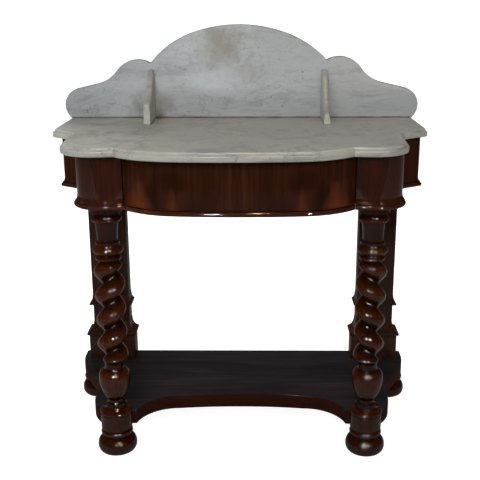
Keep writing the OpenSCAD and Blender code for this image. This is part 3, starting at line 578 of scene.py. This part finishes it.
def mahogany(name, ground, grain, rough, polish, ribbon, flame=False, hollow=False):
    """Polished mahogany whose grain runs along one axis, with its pores, ribbons and dark streaks, and, where
    hollow is set, painted shade that partly stands for dark polish.
    """
    n = Nodes(name)
    along = {"X": (2.5, 55, 55), "Y": (55, 2.5, 55), "Z": (55, 55, 2.5)}[grain]
    x, y, z = n.parts(n.place())
    if flame:
        x = n.math("ABSOLUTE", n.sum(x, 3 * MM))
    spot = n.add("CombineXYZ", {0: x, 1: y, 2: z})
    lines = n.noise(n.stretch(spot, along), 2.2, 7, 0.62, 0.25)
    bands = n.noise(n.stretch(spot, [2.6 + a / 7 for a in along]), 1.0, 4, 0.55, 0.5)
    colour = n.mix(n.ramp(lines, (0.32, 0), (0.68, 1)), shade(ground, 1 - ribbon),
                   shade(ground, 1 + ribbon * 0.7))
    colour = n.mix(n.ramp(bands, (0.38, 0), (0.66, 0.85)), colour, shade(ground, 0.5))
    if flame:
        colour = flames(n, spot, colour)
    # painted shade, partly dark polish, by the points' 'hollow' share: in quirks, in the leg's recess and
    # hollows, and towards the feet
    if hollow:
        dark = n.add("Attribute", attribute_name="hollow").outputs["Fac"]
        colour = n.mix(n.times(dark, 0.85), colour, shade(ground, 0.12))
    pores = n.noise(n.stretch(spot, [a * 9 for a in along]), 2.0, 2, 0.5)
    n.dress(Base_Color=colour, Roughness=rough, Specular_IOR_Level=0.0, Coat_Weight=polish,
            Coat_Roughness=0.04, Normal=n.bump(pores, 0.05 * MM, 0.5))
    return n.material


def flames(n, spot, colour):
    """The flame figure at each end of the drawer front: bright pointed tongues, dark between and over them."""
    f = bpy.context.scene.finish
    waves = n.noise(n.stretch(spot, (14, 1, 9)), 1.0, 5, 0.6).outputs["Color"]
    warp = n.stretch(n.vector("SUBTRACT", waves, (0.5, 0.5, 0.5)), (0.028, 0.028, 0.028))
    x, y, z = n.parts(n.vector("ADD", spot, warp))

    def cloud(cx, cz, rx, rz, soft):
        dx, dz = (n.math("POWER", n.times(n.sum(v, -c), 1 / r), 2.0) for v, c, r in ((x, cx, rx), (z, cz, rz)))
        return n.ramp(n.sum(dx, dz), (0, soft), (1, 0))

    def tongue(cx, half, foot, tip):
        out = n.times(n.math("ABSOLUTE", n.sum(x, -cx)), 1 / half)
        up = n.times(n.sum(z, -foot), 1 / (tip - foot))
        return n.ramp(n.sum(out, up), (0.35, 1), (1.0, 0))

    for cx, cz, rx, rz, soft in ((0.182, 0.655, 0.022, 0.055, 0.9), (0.140, 0.702, 0.036, 0.032, 0.8),
                                 (0.215, 0.715, 0.060, 0.025, 0.4)):
        colour = n.mix(cloud(cx, cz, rx, rz, soft), colour, shade(f.veneer, 0.3))
    for cx, half, foot, tip in ((0.212, 0.052, 0.622, 0.702), (0.140, 0.024, 0.628, 0.700)):
        bright = 4 * cx
        colour = n.mix(n.times(tongue(cx, half, foot, tip), bright), colour, f.flame)
    return colour


def wood(name, tone, grain="Z", rough=0.3, polish=0, k=1.0, ribbon=0.3, **more):
    """A mahogany in one of the ground colours."""
    return once(name, lambda: mahogany(name, ground_colour(tone, k), grain, rough, polish, ribbon, **more))


def metal(name, colour, grains, smooth, dull):
    """A bare metal that is smooth in some places and dull in others."""
    def make():
        n = Nodes(name)
        n.dress(Base_Color=colour, Metallic=1.0,
                Roughness=n.ramp(n.noise(n.place(), grains), (0.3, smooth), (0.7, dull)))
        return n.material
    return once(name, make)


white_marble = stone("white marble", "marble", dirty=True)
bracket_marble = stone("stained bracket marble", "bracket", dirty=True)
slab_marble = stone("worn slab marble", "slab", polish=0.03)
# a darker marble, the slab's tone at 0.45, for the splashback's edges
dark_edge_marble = stone("sawn marble edge", "slab", 0.45)
flame_veneer = wood("flame mahogany veneer", "veneer", polish=0.06, ribbon=0.5, flame=True)
plain_veneer = wood("straight mahogany veneer", "veneer", polish=0.02, ribbon=0.5)
turret_veneer = wood("polished turret veneer", "turret", polish=0.75)
# the veneer's tone at 1.3 is painted light on the upward-facing mouldings; hollow=True adds painted shade
moulding_wood_painted_lighter = wood("mahogany moulding", "veneer", "X", 0.25, 0.12, 1.3, 0.5, hollow=True)
# hollow=True adds painted shade to the turned wood
turned_wood = wood("turned mahogany", "turned", "Z", 0.25, 0.17, 1.0, 0.5, hollow=True)
pilaster_wood = wood("dull pilaster wood", "dull", "Z", 0.5, 0.08)
# the shelf top's blue-grey tone is a painted reflection over dark wood
shelf_top_painted_sheen = wood("dark shelf wood", "shelf", "X", 0.4, 0.05)
shelf_edge = wood("brown shelf edge", "veneer", "X", 0.4, 0.02, 0.7)
lining_wood = wood("drawer lining", "lining", "Y", 0.6, ribbon=0.25)
carcass = wood("carcass wood", "lining", "X", 0.7)
brass = metal("dowel brass", (0.7, 0.5, 0.2), 200, 0.25, 0.45)
steel = metal("screw steel", (0.5, 0.5, 0.5), 300, 0.3, 0.5)

FINISH = {"marble": white_marble, "brass_dowels": brass, "steel_screws": steel,
          "mahogany_veneer": plain_veneer, "mahogany_moulding": moulding_wood_painted_lighter, "mahogany_turned": turned_wood,
          "mahogany_pilaster": pilaster_wood, "mahogany_shelf": shelf_top_painted_sheen, "drawer_lining": lining_wood,
          "carcass_wood": carcass}
SIDES = (("left", -1), ("right", 1))


def flipped(bm, s):
    """Turns a piece made for the right side over to the left one."""
    if s < 0:
        scale(bm, -1, 1, 1)


def block(pen, s, height, edge):
    """Closes an outline, thickens it upwards, rounds its edges and turns it to its side."""
    pen.close()
    thicken(pen.bm, height)
    soften(pen.bm, edge, 1)
    flipped(pen.bm, s)


# ---------- operators ----------
class WASHSTAND_OT_slab(bpy.types.Operator):
    """Make the marble slab with its moulded edge"""
    bl_idname = "washstand.slab"
    bl_label = "Marble slab"

    def execute(self, context):
        m, plan = context.scene.marble, Plan()
        roll, top = m.roll, m.thick
        profile = (curl(-3 * MM, 3 * MM, 3 * MM, -90, 0, 5)
                   + curl(-3.4 * MM, roll - 3.4 * MM, 3.4 * MM, 0, 80, 6)
                   + [(-4.6 * MM, roll + 0.2 * MM), (-4.6 * MM, top - 4 * MM)]
                   + curl(-8.6 * MM, top - 4 * MM, 4 * MM, 10, 90, 5))
        bm = bmesh.new()
        skin(bm, plan.slab, profile)
        cap(bm)
        slide(bm, z=m.height - top)
        piece("top_slab", bm, ["marble_top"], "marble", finish=slab_marble)
        return {"FINISHED"}


class WASHSTAND_OT_splashback(bpy.types.Operator):
    """Make the arched splashback"""
    bl_idname = "washstand.splashback"
    bl_label = "Splashback"

    def execute(self, context):
        m = context.scene.marble
        end_lobe = Vector((m.width / 2 + 2 * MM - m.lobe_r, 33.5 * MM))
        arch_r, shoulder_r, hollow_r = 365 * MM, 67 * MM, 95 * MM
        arch_a, slope = asin(120 * MM / arch_r), radians(13)
        arch_c = Vector((0, m.splash_h - arch_r))
        n, fall = Vector((sin(arch_a), cos(arch_a))), Vector((sin(slope), cos(slope)))
        p = arch_c + arch_r * n

        def half(s):
            """Draws one half from the arch's top round to the slab, and turns it to its side."""
            old = set(bm.verts)
            shift, lift = Vector((s * m.arch_shift, 0)), s * m.lift
            lobe = end_lobe + 0.25 * shift
            q = Vector((m.cusp_x, m.cusp_h + lift))
            end_c = p - (p - q).length_squared / (2 * n.dot(p - q)) * n
            pen = Pen(bm, (shift.x, m.splash_h))
            pen.arc(arch_c + shift, 90 - degrees(arch_a), 10)
            pen.arc(end_c + shift, degrees(atan2(q.y - end_c.y, q.x - end_c.x)), 16)
            top = Vector((m.cusp_x + 35 * MM, m.cusp_h + lift + 6.5 * MM - shoulder_r)) + shift
            corner = q + shift - top
            pen.line(top + shoulder_r * corner.normalized())
            foot = lobe + (m.lobe_r + hollow_r) * fall - top
            along = Vector((-fall.y, fall.x))
            b, c = foot.dot(along), foot.length_squared - (shoulder_r + hollow_r) ** 2
            hollow = foot + (-b - sqrt(b * b - c)) * along
            pen.arc(top, degrees(atan2(hollow.y, hollow.x)), 12)
            pen.arc(top + hollow, -90 - degrees(slope), 12)
            pen.line(lobe + m.lobe_r * fall)
            pen.arc(lobe, 0, 16)
            pen.arc(lobe, -degrees(asin(lobe.y / m.lobe_r)), 8)
            for v in bm.verts:
                if v not in old:
                    v.co.x *= s
            return pen.tip

        bm = bmesh.new()
        bmesh.ops.contextual_create(bm, geom=[half(-1), half(1)])
        weld(bm)
        thicken(bm, m.splash_t)
        upright(bm)
        slide(bm, z=m.height)
        soften(bm, 1.6 * MM, 3)
        obj = piece("arched_splashback", bm, ["marble_splashback"], "marble")
        # all faces but the front, with the arris's rounding, get the darker marble
        dress_faces(obj, dark_edge_marble, lambda face: face.normal.y > -0.9)
        return {"FINISHED"}


class WASHSTAND_OT_brackets(bpy.types.Operator):
    """Make the two marble brackets that stand against the splashback"""
    bl_idname = "washstand.brackets"
    bl_label = "Brackets"

    def execute(self, context):
        m = context.scene.marble
        for name, s in SIDES:
            nose = (56 if s < 0 else 34) * MM
            d, h = m.bracket_d, m.bracket_h
            bm = bmesh.new()
            pen = Pen(bm, (0, 0))
            pen.line((d + 2 * MM, 0), (d, nose * 0.7))
            pen.curve((d, nose * 0.95), (d * 0.93, nose), (d * 0.84, nose + 2 * MM))
            pen.curve((d * 0.62, nose + 6 * MM), (d * 0.50, nose + 30 * MM), (d * 0.36, h * 0.78), 10)
            pen.curve((d * 0.28, h * 0.90), (d * 0.16, h), (0, h))
            pen.close()
            thicken(bm, m.bracket_t)
            upright(bm, "YZ")
            slide(bm, x=m.bracket_shift + s * m.bracket_x + m.bracket_t / 2, y=-m.splash_t, z=m.height)
            soften(bm, 6.5 * MM, 6, 80, lambda e: min(v.co.z for v in e.verts) > m.height + MM
                   and min(v.co.y for v in e.verts) < -m.splash_t - MM, clamp=False)
            piece("bracket_" + name, bm, ["marble_bracket_" + name], "marble", finish=bracket_marble)
        return {"FINISHED"}


class WASHSTAND_OT_turrets(bpy.types.Operator):
    """Make the rounded turrets over the front legs"""
    bl_idname = "washstand.turrets"
    bl_label = "Turrets"

    def execute(self, context):
        plan = Plan()
        for name, s in SIDES:
            bm = bmesh.new()
            pen = plan.round_turret(bm, 0, plan.frieze_z)
            pen.line((plan.turret_in, -plan.turret_back))
            block(pen, s, plan.f.height, 0.6 * MM)
            piece("round_turret_" + name, bm, ["turret_" + name], "mahogany_veneer", finish=turret_veneer)
        return {"FINISHED"}


class WASHSTAND_OT_ends(bpy.types.Operator):
    """Make the end blocks with their coves, and the side rails behind them"""
    bl_idname = "washstand.ends"
    bl_label = "End blocks and side rails"

    def execute(self, context):
        plan = Plan()
        end, wall = 150 * MM, 24 * MM
        inner = plan.turret_out - 26 * MM
        for name, s in SIDES:
            bm = bmesh.new()
            pen = Pen(bm, (inner, -plan.turret_back), plan.frieze_z)
            pen.line((plan.turret_out, -plan.turret_back), (plan.turret_out, plan.cove_c.y))
            pen.arc(plan.cove_c, 123, 16)
            pen.line(plan.ear, (plan.side_x(-end), -end), (plan.side_x(-end) - wall, -end),
                     (inner, -plan.f.ear_y - wall))
            block(pen, s, plan.f.height, 0.6 * MM)
            piece("coved_block_" + name, bm, ["end_block_" + name], "mahogany_veneer")
            bm = bmesh.new()
            pen = Pen(bm, (plan.side_x(-end), -end), plan.frieze_z)
            pen.line((plan.side_x(0), 0), (plan.side_x(0) - wall, 0), (plan.side_x(-end) - wall, -end))
            block(pen, s, plan.f.height, 0.5 * MM)
            piece("side_panel_" + name, bm, ["side_rail_" + name], "mahogany_veneer")
        return {"FINISHED"}


QUIRK = (11 * MM, 12.3 * MM)  # heights between which the quirk over the nose lies
SLACK = 2 * MM  # how far the drawer front keeps from the frieze's top and foot
SEAT = 0.2 * MM  # how far a moulding stands off what it sits on


def foot_moulding(f, hollow=0.0):
    """Section of the moulding at the frieze's foot: a rounded nose, a quirk and, if it has one, a hollow."""
    nose, out, top = 5.2 * MM, f.mould_out - 0.8 * MM, QUIRK[1] + 0.1 * MM
    section = ([(0, 0), (out - 6.4 * MM, 0)] + curl(out - nose, 0.8 * MM + nose, nose, -68, 72, 12)
               + [(out - 4.4 * MM, top - 1.2 * MM), (out - 4.4 * MM, top - 0.2 * MM)])
    if hollow:
        reach = out - 2.6 * MM
        return (section + [(reach + (0.4 * MM - reach) * sin(a), top + hollow - hollow * cos(a))
                           for a in (radians(9 * i) for i in range(11))] + [(0, top + hollow)])
    return section + [(0.4 * MM, top), (0, top)]


def lay_foot(bm, draw, plan, hollow=0.0, whole=False):
    """Lays the moulding along an outline at the foot of the frieze, with painted shade in the quirk over its
    nose.
    """
    skin(bm, lambda b, out, up: draw(b, out + SEAT, up), foot_moulding(plan.f, hollow), ring=True)
    if whole:
        both_halves(bm)
    cap(bm)
    # painted shade in the quirk
    paint_shade_and_dark_polish(bm, lambda c: 1 if QUIRK[0] < c.z < QUIRK[1] else 0)
    slide(bm, z=plan.frieze_z)


class WASHSTAND_OT_mouldings(bpy.types.Operator):
    """Make the mouldings at the foot of the frieze"""
    bl_idname = "washstand.mouldings"
    bl_label = "Frieze mouldings"

    def execute(self, context):
        plan = Plan()
        veneer_z = plan.frieze_z + QUIRK[1] + 0.2 * MM
        for kind, draw, hollow in (("turret", plan.round_turret, 12 * MM), ("end", plan.round_end, 8 * MM)):
            for name, s in SIDES:
                bm = bmesh.new()
                lay_foot(bm, draw, plan, hollow)
                flipped(bm, s)
                obj = piece(f"{kind}_foot_{name}", bm, [f"{kind}_moulding_{name}"], "mahogany_moulding")
                dress_faces(obj, plain_veneer, lambda face: face.center.z > veneer_z)
        return {"FINISHED"}


class WASHSTAND_OT_drawer(bpy.types.Operator):
    """Make the bowed drawer front and its moulding"""
    bl_idname = "washstand.drawer"
    bl_label = "Drawer front"

    def execute(self, context):
        plan = Plan()
        f = plan.f
        cheek_y, cheek_x, front_t = f.bow_depth - 84 * MM, f.front_half - 27 * MM, 24 * MM
        bm = bmesh.new()
        pen = plan.bow(bm, 0, plan.frieze_z + SLACK, f.front_half)
        pen.line((f.front_half, -cheek_y), (cheek_x, -cheek_y))
        r = f.bow_end_r - front_t
        x = cheek_x - plan.end_c.x
        pen.line((cheek_x, plan.end_c.y - sqrt(r * r - x * x)))
        pen.arc(plan.end_c, degrees(plan.bow_a) - 90, 12)
        pen.arc(plan.bow_c, -90, 8)
        both_halves(bm)
        weld(bm)
        thicken(bm, f.height - 2 * SLACK)
        soften(bm, 0.8 * MM, 2)
        piece("bowed_front", bm, ["drawer_front"], "mahogany_veneer", finish=flame_veneer, body="drawer")
        bm = bmesh.new()
        lay_foot(bm, lambda b, d, up: plan.bow(b, d, up, f.front_half), plan, whole=True)
        piece("bowed_foot", bm, ["drawer_front_moulding"], "mahogany_moulding", body="drawer")
        return {"FINISHED"}


def leg_foot(bm):
    """Draws the leg below the twist, from the shelf up: rim, dish, fillets, neck and vase."""
    pen = Pen(bm, (0, 100))
    pen.line((36.5, 100), (36.5, 102), (35.5, 102.6))
    pen.arc((34, 107), 75, 10)
    pen.line((34.2, 112.3))
    pen.curve((30, 113.2), (25, 116), (24, 122))
    pen.line((24, 124), (22.3, 124.6), (22.3, 128.2), (21.2, 129))
    pen.curve((18.8, 131), (18.3, 134), (18.6, 138), 6)
    pen.curve((19, 141), (20.6, 142), (22, 143.2), 4)
    pen.curve((28, 153), (37.3, 176), (37.3, 195), 14)
    pen.curve((37.3, 207), (33.5, 213), (28, 215.4), 10)
    pen.line((24, 217))
    pen.curve((21.6, 218), (21.2, 224), (21.5, 232), 6)
    pen.line((20, 237), (0, 237))


def leg_head(bm):
    """Draws the leg above the twist: rings, plain shaft and collar."""
    pen = Pen(bm, (0, 488))
    pen.line((20, 488), (24, 491.6))
    pen.arc((24, 497), 80, 12)
    pen.curve((23.2, 503), (23.4, 507), (28, 508.6), 6)
    pen.arc((27, 517), 70, 14)
    pen.curve((27, 526), (25.2, 530), (27.6, 531.6), 6)
    pen.line((28, 532), (28, 535.4), (26, 536), (25.4, 538.4), (23.6, 539.5))
    pen.curve((23.3, 552), (25.4, 568), (26.2, 582), 10)
    pen.line((29.5, 582.4), (29.5, 585), (30.6, 585.2))
    pen.arc((30, 590.1), 80, 10)
    pen.line((31.4, 595.6), (30.5, 597), (30.5, 605.5), (36, 606.5), (36, 624), (35, 625), (0, 625))


def leg_shade(c):
    """Painted shade, partly standing for dark polish, in the recess under the collar and in the hollows, and
    painted shade towards the foot.
    """
    recess, round_r, depth, foot_z, fade = (596.5 * MM, 606 * MM), 33 * MM, 10 * MM, 0.22, 0.4
    return 1 if recess[0] < c.z < recess[1] else max((round_r - c.xy.length) / depth, (foot_z - c.z) / fade)


class WASHSTAND_OT_legs(bpy.types.Operator):
    """Make the turned and twisted front legs"""
    bl_idname = "washstand.legs"
    bl_label = "Twisted legs"

    def execute(self, context):
        leg = context.scene.leg
        per_turn, roundness, run_out = 36, 1.3, 13 * MM
        for name, s in SIDES:
            bm = bmesh.new()
            for draw in (leg_foot, leg_head):
                part = bmesh.new()
                draw(part)
                turn(part)
                keep(bm, part)
            part = bmesh.new()
            made = bmesh.ops.create_circle(part, segments=AROUND, radius=1, cap_ends=False)
            step = leg.pitch / per_turn
            first = 360 * (leg.twist_low - leg.crest_z) / leg.pitch
            for v in made["verts"]:
                a = atan2(v.co.y, v.co.x)
                r = leg.root_r + (leg.crest_r - leg.root_r) * abs(sin(a / 2)) ** roundness
                v.co.x, v.co.y = r * cos(a), r * sin(a)
            rotate(part, first, "Z")
            slide(part, z=leg.twist_low)
            ring = part.edges[:]
            for _ in range(round((leg.twist_high - leg.twist_low) / step)):
                new = bmesh.ops.extrude_edge_only(part, edges=ring)["geom"]
                ring = [g for g in new if isinstance(g, bmesh.types.BMEdge)]
                slide(part, z=step, verts=points(new))
                rotate(part, 360 / per_turn, "Z", points(new))
            for v in part.verts:  # the twist runs out into the necks
                k = within(min(v.co.z - leg.twist_low, leg.twist_high - v.co.z) / run_out)
                k = k * k * (3 - 2 * k)
                r = v.co.xy.length
                new = r * k + min(r, leg.neck_r) * (1 - k)
                v.co.x *= new / r
                v.co.y *= new / r
            cap(part)
            keep(bm, part)
            # painted shade in the recess, in the twist's hollows and towards the foot
            paint_shade_and_dark_polish(bm, leg_shade)
            flipped(bm, -s)
            slide(bm, x=s * leg.x, y=-leg.y)
            piece("barley_leg_" + name, bm, ["twist_leg_" + name], "mahogany_turned", 40)
        return {"FINISHED"}


def keep(bm, part):
    """Adds a part to the piece it belongs to."""
    mesh = bpy.data.meshes.new("part")
    part.to_mesh(mesh)
    part.free()
    bm.from_mesh(mesh)
    bpy.data.meshes.remove(mesh)


class WASHSTAND_OT_feet(bpy.types.Operator):
    """Make the four turned feet"""
    bl_idname = "washstand.feet"
    bl_label = "Turned feet"

    def execute(self, context):
        leg, p = context.scene.leg, context.scene.platform
        ring_z = 64
        for kind, x, y, more, top in (("front", leg.x, leg.y, 0, 100), ("back", p.foot_x, p.foot_y, 3, ring_z)):
            for name, s in SIDES:
                bm = bmesh.new()
                pen = Pen(bm, (0, 0))
                pen.line((33, 0), (34.5, 0.4))
                pen.curve((43.5, 2), (47.4, 9.5), (47.4, 19), 10)
                pen.curve((47.4, 30), (42, 38), (34, 40), 10)
                pen.line((32, 40.8), (32, 42.6), (31, 43.1))
                pen.arc((29 + more, 52.5), 80, 14)
                pen.line((30.6 + more, 62.4), (36.4, 62.7), (36.4, ring_z))
                if top > ring_z:
                    pen.line((37.5, ring_z + 0.4), (37.5, top))
                pen.line((0, top))
                turn(bm)
                # painted shade over the whole foot, more in its hollows
                paint_shade_and_dark_polish(bm, lambda c: max(0.6, ((36 + more) * MM - c.xy.length) / (6 * MM)))
                slide(bm, x=s * x, y=-y)
                piece(f"bun_foot_{kind}_{name}", bm, [f"{kind}_foot_{name}"], "mahogany_turned", 40)
        return {"FINISHED"}


class WASHSTAND_OT_pilasters(bpy.types.Operator):
    """Make the pilasters with their cap and base mouldings and plinths"""
    bl_idname = "washstand.pilasters"
    bl_label = "Pilasters"

    def execute(self, context):
        p, plan = context.scene.platform, Plan()
        half, low = p.post_w / 2, p.shelf_z + p.plinth_h

        def box(name, s, wide, deep, z0, z1, nodes):
            bm = bmesh.new()
            bmesh.ops.create_cube(bm, size=1)
            scale(bm, 2 * wide, deep, z1 - z0)
            slide(bm, x=s * p.post_x, y=-deep / 2, z=(z0 + z1) / 2)
            soften(bm, 1.2 * MM, 2)
            piece(name, bm, nodes, "mahogany_pilaster")

        def run(bm, out, up):
            pen = Pen(bm, (-half - out, 0), up)
            pen.line((-half - out, -p.post_t - out), (half + out, -p.post_t - out), (half + out, 0))

        def flare(high, out, lip, foot):
            """A hollow that runs out and down to a lip, undercut to the foot."""
            edge, step = 1.4 * MM, 2 * MM
            return ([(0, 0), (foot, 0)] + curl(out - edge, edge + 0.2 * MM, edge, -60, 0, 3)
                    + curl(out - edge, lip - edge, edge, 0, 70, 3)
                    + [(out - 1.2 * MM - (out - step) * sin(a), high - step - (high - step - lip) * cos(a))
                       for a in (radians(10 * i) for i in range(1, 10))]
                    + [(0.8 * MM, high), (0, high)])

        for name, s in SIDES:
            box("plain_post_" + name, s, half, p.post_t, low, plan.frieze_z, ["pilaster_" + name])
            box("post_plinth_" + name, s, half + p.plinth_out, p.post_t + p.plinth_out, p.shelf_z, low,
                ["plinth_" + name])
            for kind, z, section in (
                    ("cap", p.shelf_z + p.cap_z, flare(p.cap_h, p.cap_out, 5 * MM, 1 * MM)),
                    ("base", low, flare(p.base_h, p.base_out, 8 * MM, p.plinth_out))):
                bm = bmesh.new()
                skin(bm, run, section, ring=True)
                cap(bm)
                slide(bm, x=s * p.post_x, z=z)
                piece(f"post_{kind}_{name}", bm, [f"{kind}_moulding_{name}"], "mahogany_pilaster")
        return {"FINISHED"}


class WASHSTAND_OT_shelf(bpy.types.Operator):
    """Make the shaped platform shelf"""
    bl_idname = "washstand.shelf"
    bl_label = "Platform shelf"

    def execute(self, context):
        p, leg = context.scene.platform, context.scene.leg
        hx, y1, r = leg.x - 147 * MM, -p.shelf_d - 10 * MM, 102 * MM
        lx, drum = p.lobe_half, 37.5 * MM
        bm = bmesh.new()
        pen = Pen(bm, (0, -p.shelf_d), p.shelf_z - p.shelf_t)
        pen.curve((hx / 3, -p.shelf_d), (2 * hx / 3, y1 + 7 * MM), (hx, y1), 10)
        pen.arc((hx, y1 - r), 14, 20)
        pen.line((leg.x - drum / 2, -leg.y + drum / 6), (leg.x + drum / 2, -leg.y))
        pen.round((lx - 115 * MM, -leg.y + 83 * MM), 115 * MM, -44, 0, 14)
        pen.round((lx + 96 * MM, -leg.y + 129 * MM), 96 * MM, 180, 152, 10)
        pen.round((p.shelf_half - 190 * MM, -30 * MM), 190 * MM, -30, 0, 12)
        pen.round((p.shelf_half - 6 * MM, -6 * MM), 6 * MM, 0, 90, 6)
        both_halves(bm)
        ends = [v for v in bm.verts if len(v.link_edges) == 1]
        bmesh.ops.contextual_create(bm, geom=ends)
        thicken(bm, p.shelf_t)
        soften(bm, 1.5 * MM, 3)
        obj = piece("shaped_shelf", bm, ["platform_shelf"], "mahogany_shelf")
        # the top faces keep the blue-grey painted reflection; the edges get the wood's brown
        dress_faces(obj, shelf_edge, lambda face: face.normal.z < 0.7)
        return {"FINISHED"}


class WASHSTAND_OT_carcass(bpy.types.Operator):
    """Give the hidden pieces that stay as they were packed their finishes"""
    bl_idname = "washstand.carcass"
    bl_label = "Carcass and drawer finishes"

    def execute(self, context):
        slots = {"brass_dowels": ["marble_dowels"], "steel_screws": ["shelf_screws", "drawer_bottom_screws"],
                 "drawer_lining": [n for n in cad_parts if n.startswith("drawer_") and "front" not in n
                                   and "screws" not in n]}
        for name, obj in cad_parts.items():
            if not obj.hide_render:
                found = [s for s, names in slots.items() if name in names] or ["carcass_wood"]
                obj.data.materials.clear()
                obj.data.materials.append(FINISH[found[0]]())
        return {"FINISHED"}


def seen_white(n, near):
    """How white the room looks to a ray: all white to the camera and through glass, in polish only near by."""
    ray = n.add("LightPath").outputs
    return n.math("ADD", n.sum(ray["Is Camera Ray"], ray["Is Transmission Ray"]),
                  n.times(ray["Is Glossy Ray"], near), use_clamp=True)


class WASHSTAND_OT_stage(bpy.types.Operator):
    """Make the floor, the light and the camera"""
    bl_idname = "washstand.stage"
    bl_label = "Stage"

    def execute(self, context):
        scene = context.scene
        near_to, far_off = 0.9, 3.2
        for name, half_x, half_y, middle, tilt, grey, glow in (
                ("floor", 6, 3.4, (0, 0.6, 0), 0, 0.4, 0.93),
                ("backdrop", 6, 2.5, (0, 4.0, 2.4), 90, 0.3, 1.0)):
            bm = bmesh.new()
            bmesh.ops.create_grid(bm, x_segments=1, y_segments=1, size=1)
            scale(bm, half_x, half_y, 1)
            rotate(bm, tilt, "X")
            slide(bm, *middle)
            obj = settle(name, bm)
            n = Nodes("pale " + name)
            near = n.span(n.vector("LENGTH", n.place()).outputs["Value"], near_to, far_off, 1.0, 0.05)
            n.dress(Base_Color=(grey, grey, grey), Roughness=1.0, Specular_IOR_Level=0.0,
                    Emission_Color=(1, 1, 1), Emission_Strength=n.times(seen_white(n, near), glow))
            obj.data.materials.append(n.material)
        scene.world = bpy.data.worlds.new("studio")
        n = Nodes(world=scene.world)
        level = n.add("MapRange", {"Value": seen_white(n, 0.02), "To Min": 0.12, "To Max": 1.0})
        n.dress(Color=(1, 1, 1), Strength=level)
        for name, where, aim, size, power, colour in (
                ("soft key", (-0.3, -3.2, 2.6), (0, 0, 0.6), (3.0, 1.8), 108, (1, 0.99, 0.965)),
                ("back fill", (-0.6, 2.8, 1.7), (0, 0.2, 0.6), (2.4, 1.2), 100, (1, 0.99, 0.97)),
                ("left fill", (-2.8, -0.6, 1.5), (0, 0, 0.7), (1.2, 1.2), 28, (0.9, 0.96, 1)),
                ("right fill", (2.8, -0.2, 1.5), (0, 0, 0.6), (1.2, 1.2), 14, (1, 0.99, 0.97)),
                ("left window", (-0.39, -2.75, 1.62), (-0.05, -0.2, 0.6), (0.24, 0.20), 400, (0.93, 0.97, 1)),
                ("right window", (1.15, -2.6, 1.66), (0.1, -0.2, 0.6), (0.20, 0.20), 300, (1, 0.92, 0.80)),
                ("warm lamp", (0.15, -1.15, 2.9), (0, -0.1, 0.4), (0.20, 0.20), 170, (1, 0.58, 0.26))):
            lamp = bpy.data.lights.new(name, "AREA")
            lamp.shape, (lamp.size, lamp.size_y), lamp.energy, lamp.color = "RECTANGLE", size, power, colour
            obj = bpy.data.objects.new(name, lamp)
            obj.location = where
            obj.rotation_euler = (Vector(aim) - Vector(where)).to_track_quat("-Z", "Y").to_euler()
            obj.visible_glossy = not name.endswith(("key", "fill"))
            obj.visible_diffuse = not obj.visible_glossy
            scene.collection.objects.link(obj)
        cam = bpy.data.cameras.new("camera")
        cam.lens, cam.sensor_width = 63, 36
        side_px = 480
        cam.shift_x, cam.shift_y = -4.4 / side_px, 0.5 / side_px
        obj = bpy.data.objects.new("camera", cam)
        scene.collection.objects.link(obj)
        yaw, down, roll = 0.849, 16.615, -0.232
        turn_to = (Matrix.Rotation(radians(yaw), 4, "Z") @ Matrix.Rotation(radians(90 - down), 4, "X")
                   @ Matrix.Rotation(radians(roll), 4, "Z"))
        obj.matrix_world = Matrix.Translation((0.0377, -1.9540, 1.0868)) @ turn_to
        scene.camera = obj
        scene.view_settings.view_transform = "Standard"
        return {"FINISHED"}


OPERATORS = (WASHSTAND_OT_slab, WASHSTAND_OT_splashback, WASHSTAND_OT_brackets, WASHSTAND_OT_turrets,
             WASHSTAND_OT_ends, WASHSTAND_OT_mouldings, WASHSTAND_OT_drawer, WASHSTAND_OT_legs,
             WASHSTAND_OT_feet, WASHSTAND_OT_pilasters, WASHSTAND_OT_shelf, WASHSTAND_OT_carcass,
             WASHSTAND_OT_stage)
STEPS = [cls.bl_idname.split(".")[1] for cls in OPERATORS]


class WASHSTAND_PT_panel(bpy.types.Panel):
    """Lists the pieces of the washstand"""
    bl_idname = "WASHSTAND_PT_panel"
    bl_label = "Washstand"
    bl_space_type = "VIEW_3D"
    bl_region_type = "UI"
    bl_category = "Washstand"

    def draw(self, context):
        for name in STEPS:
            self.layout.operator("washstand." + name)
        for name, group in GROUPS.items():
            box = self.layout.box()
            for key in group.__annotations__:
                box.prop(getattr(context.scene, name), key)


CLASSES = (*GROUPS.values(), *OPERATORS, WASHSTAND_PT_panel)


def register():
    for cls in CLASSES:
        bpy.utils.register_class(cls)
    for name, group in GROUPS.items():
        setattr(bpy.types.Scene, name, PointerProperty(type=group))


def unregister():
    for name in GROUPS:
        delattr(bpy.types.Scene, name)
    for cls in reversed(CLASSES):
        bpy.utils.unregister_class(cls)


def main():
    register()
    for name in STEPS:
        getattr(bpy.ops.washstand, name)()


if __name__ == "__main__":
    main()
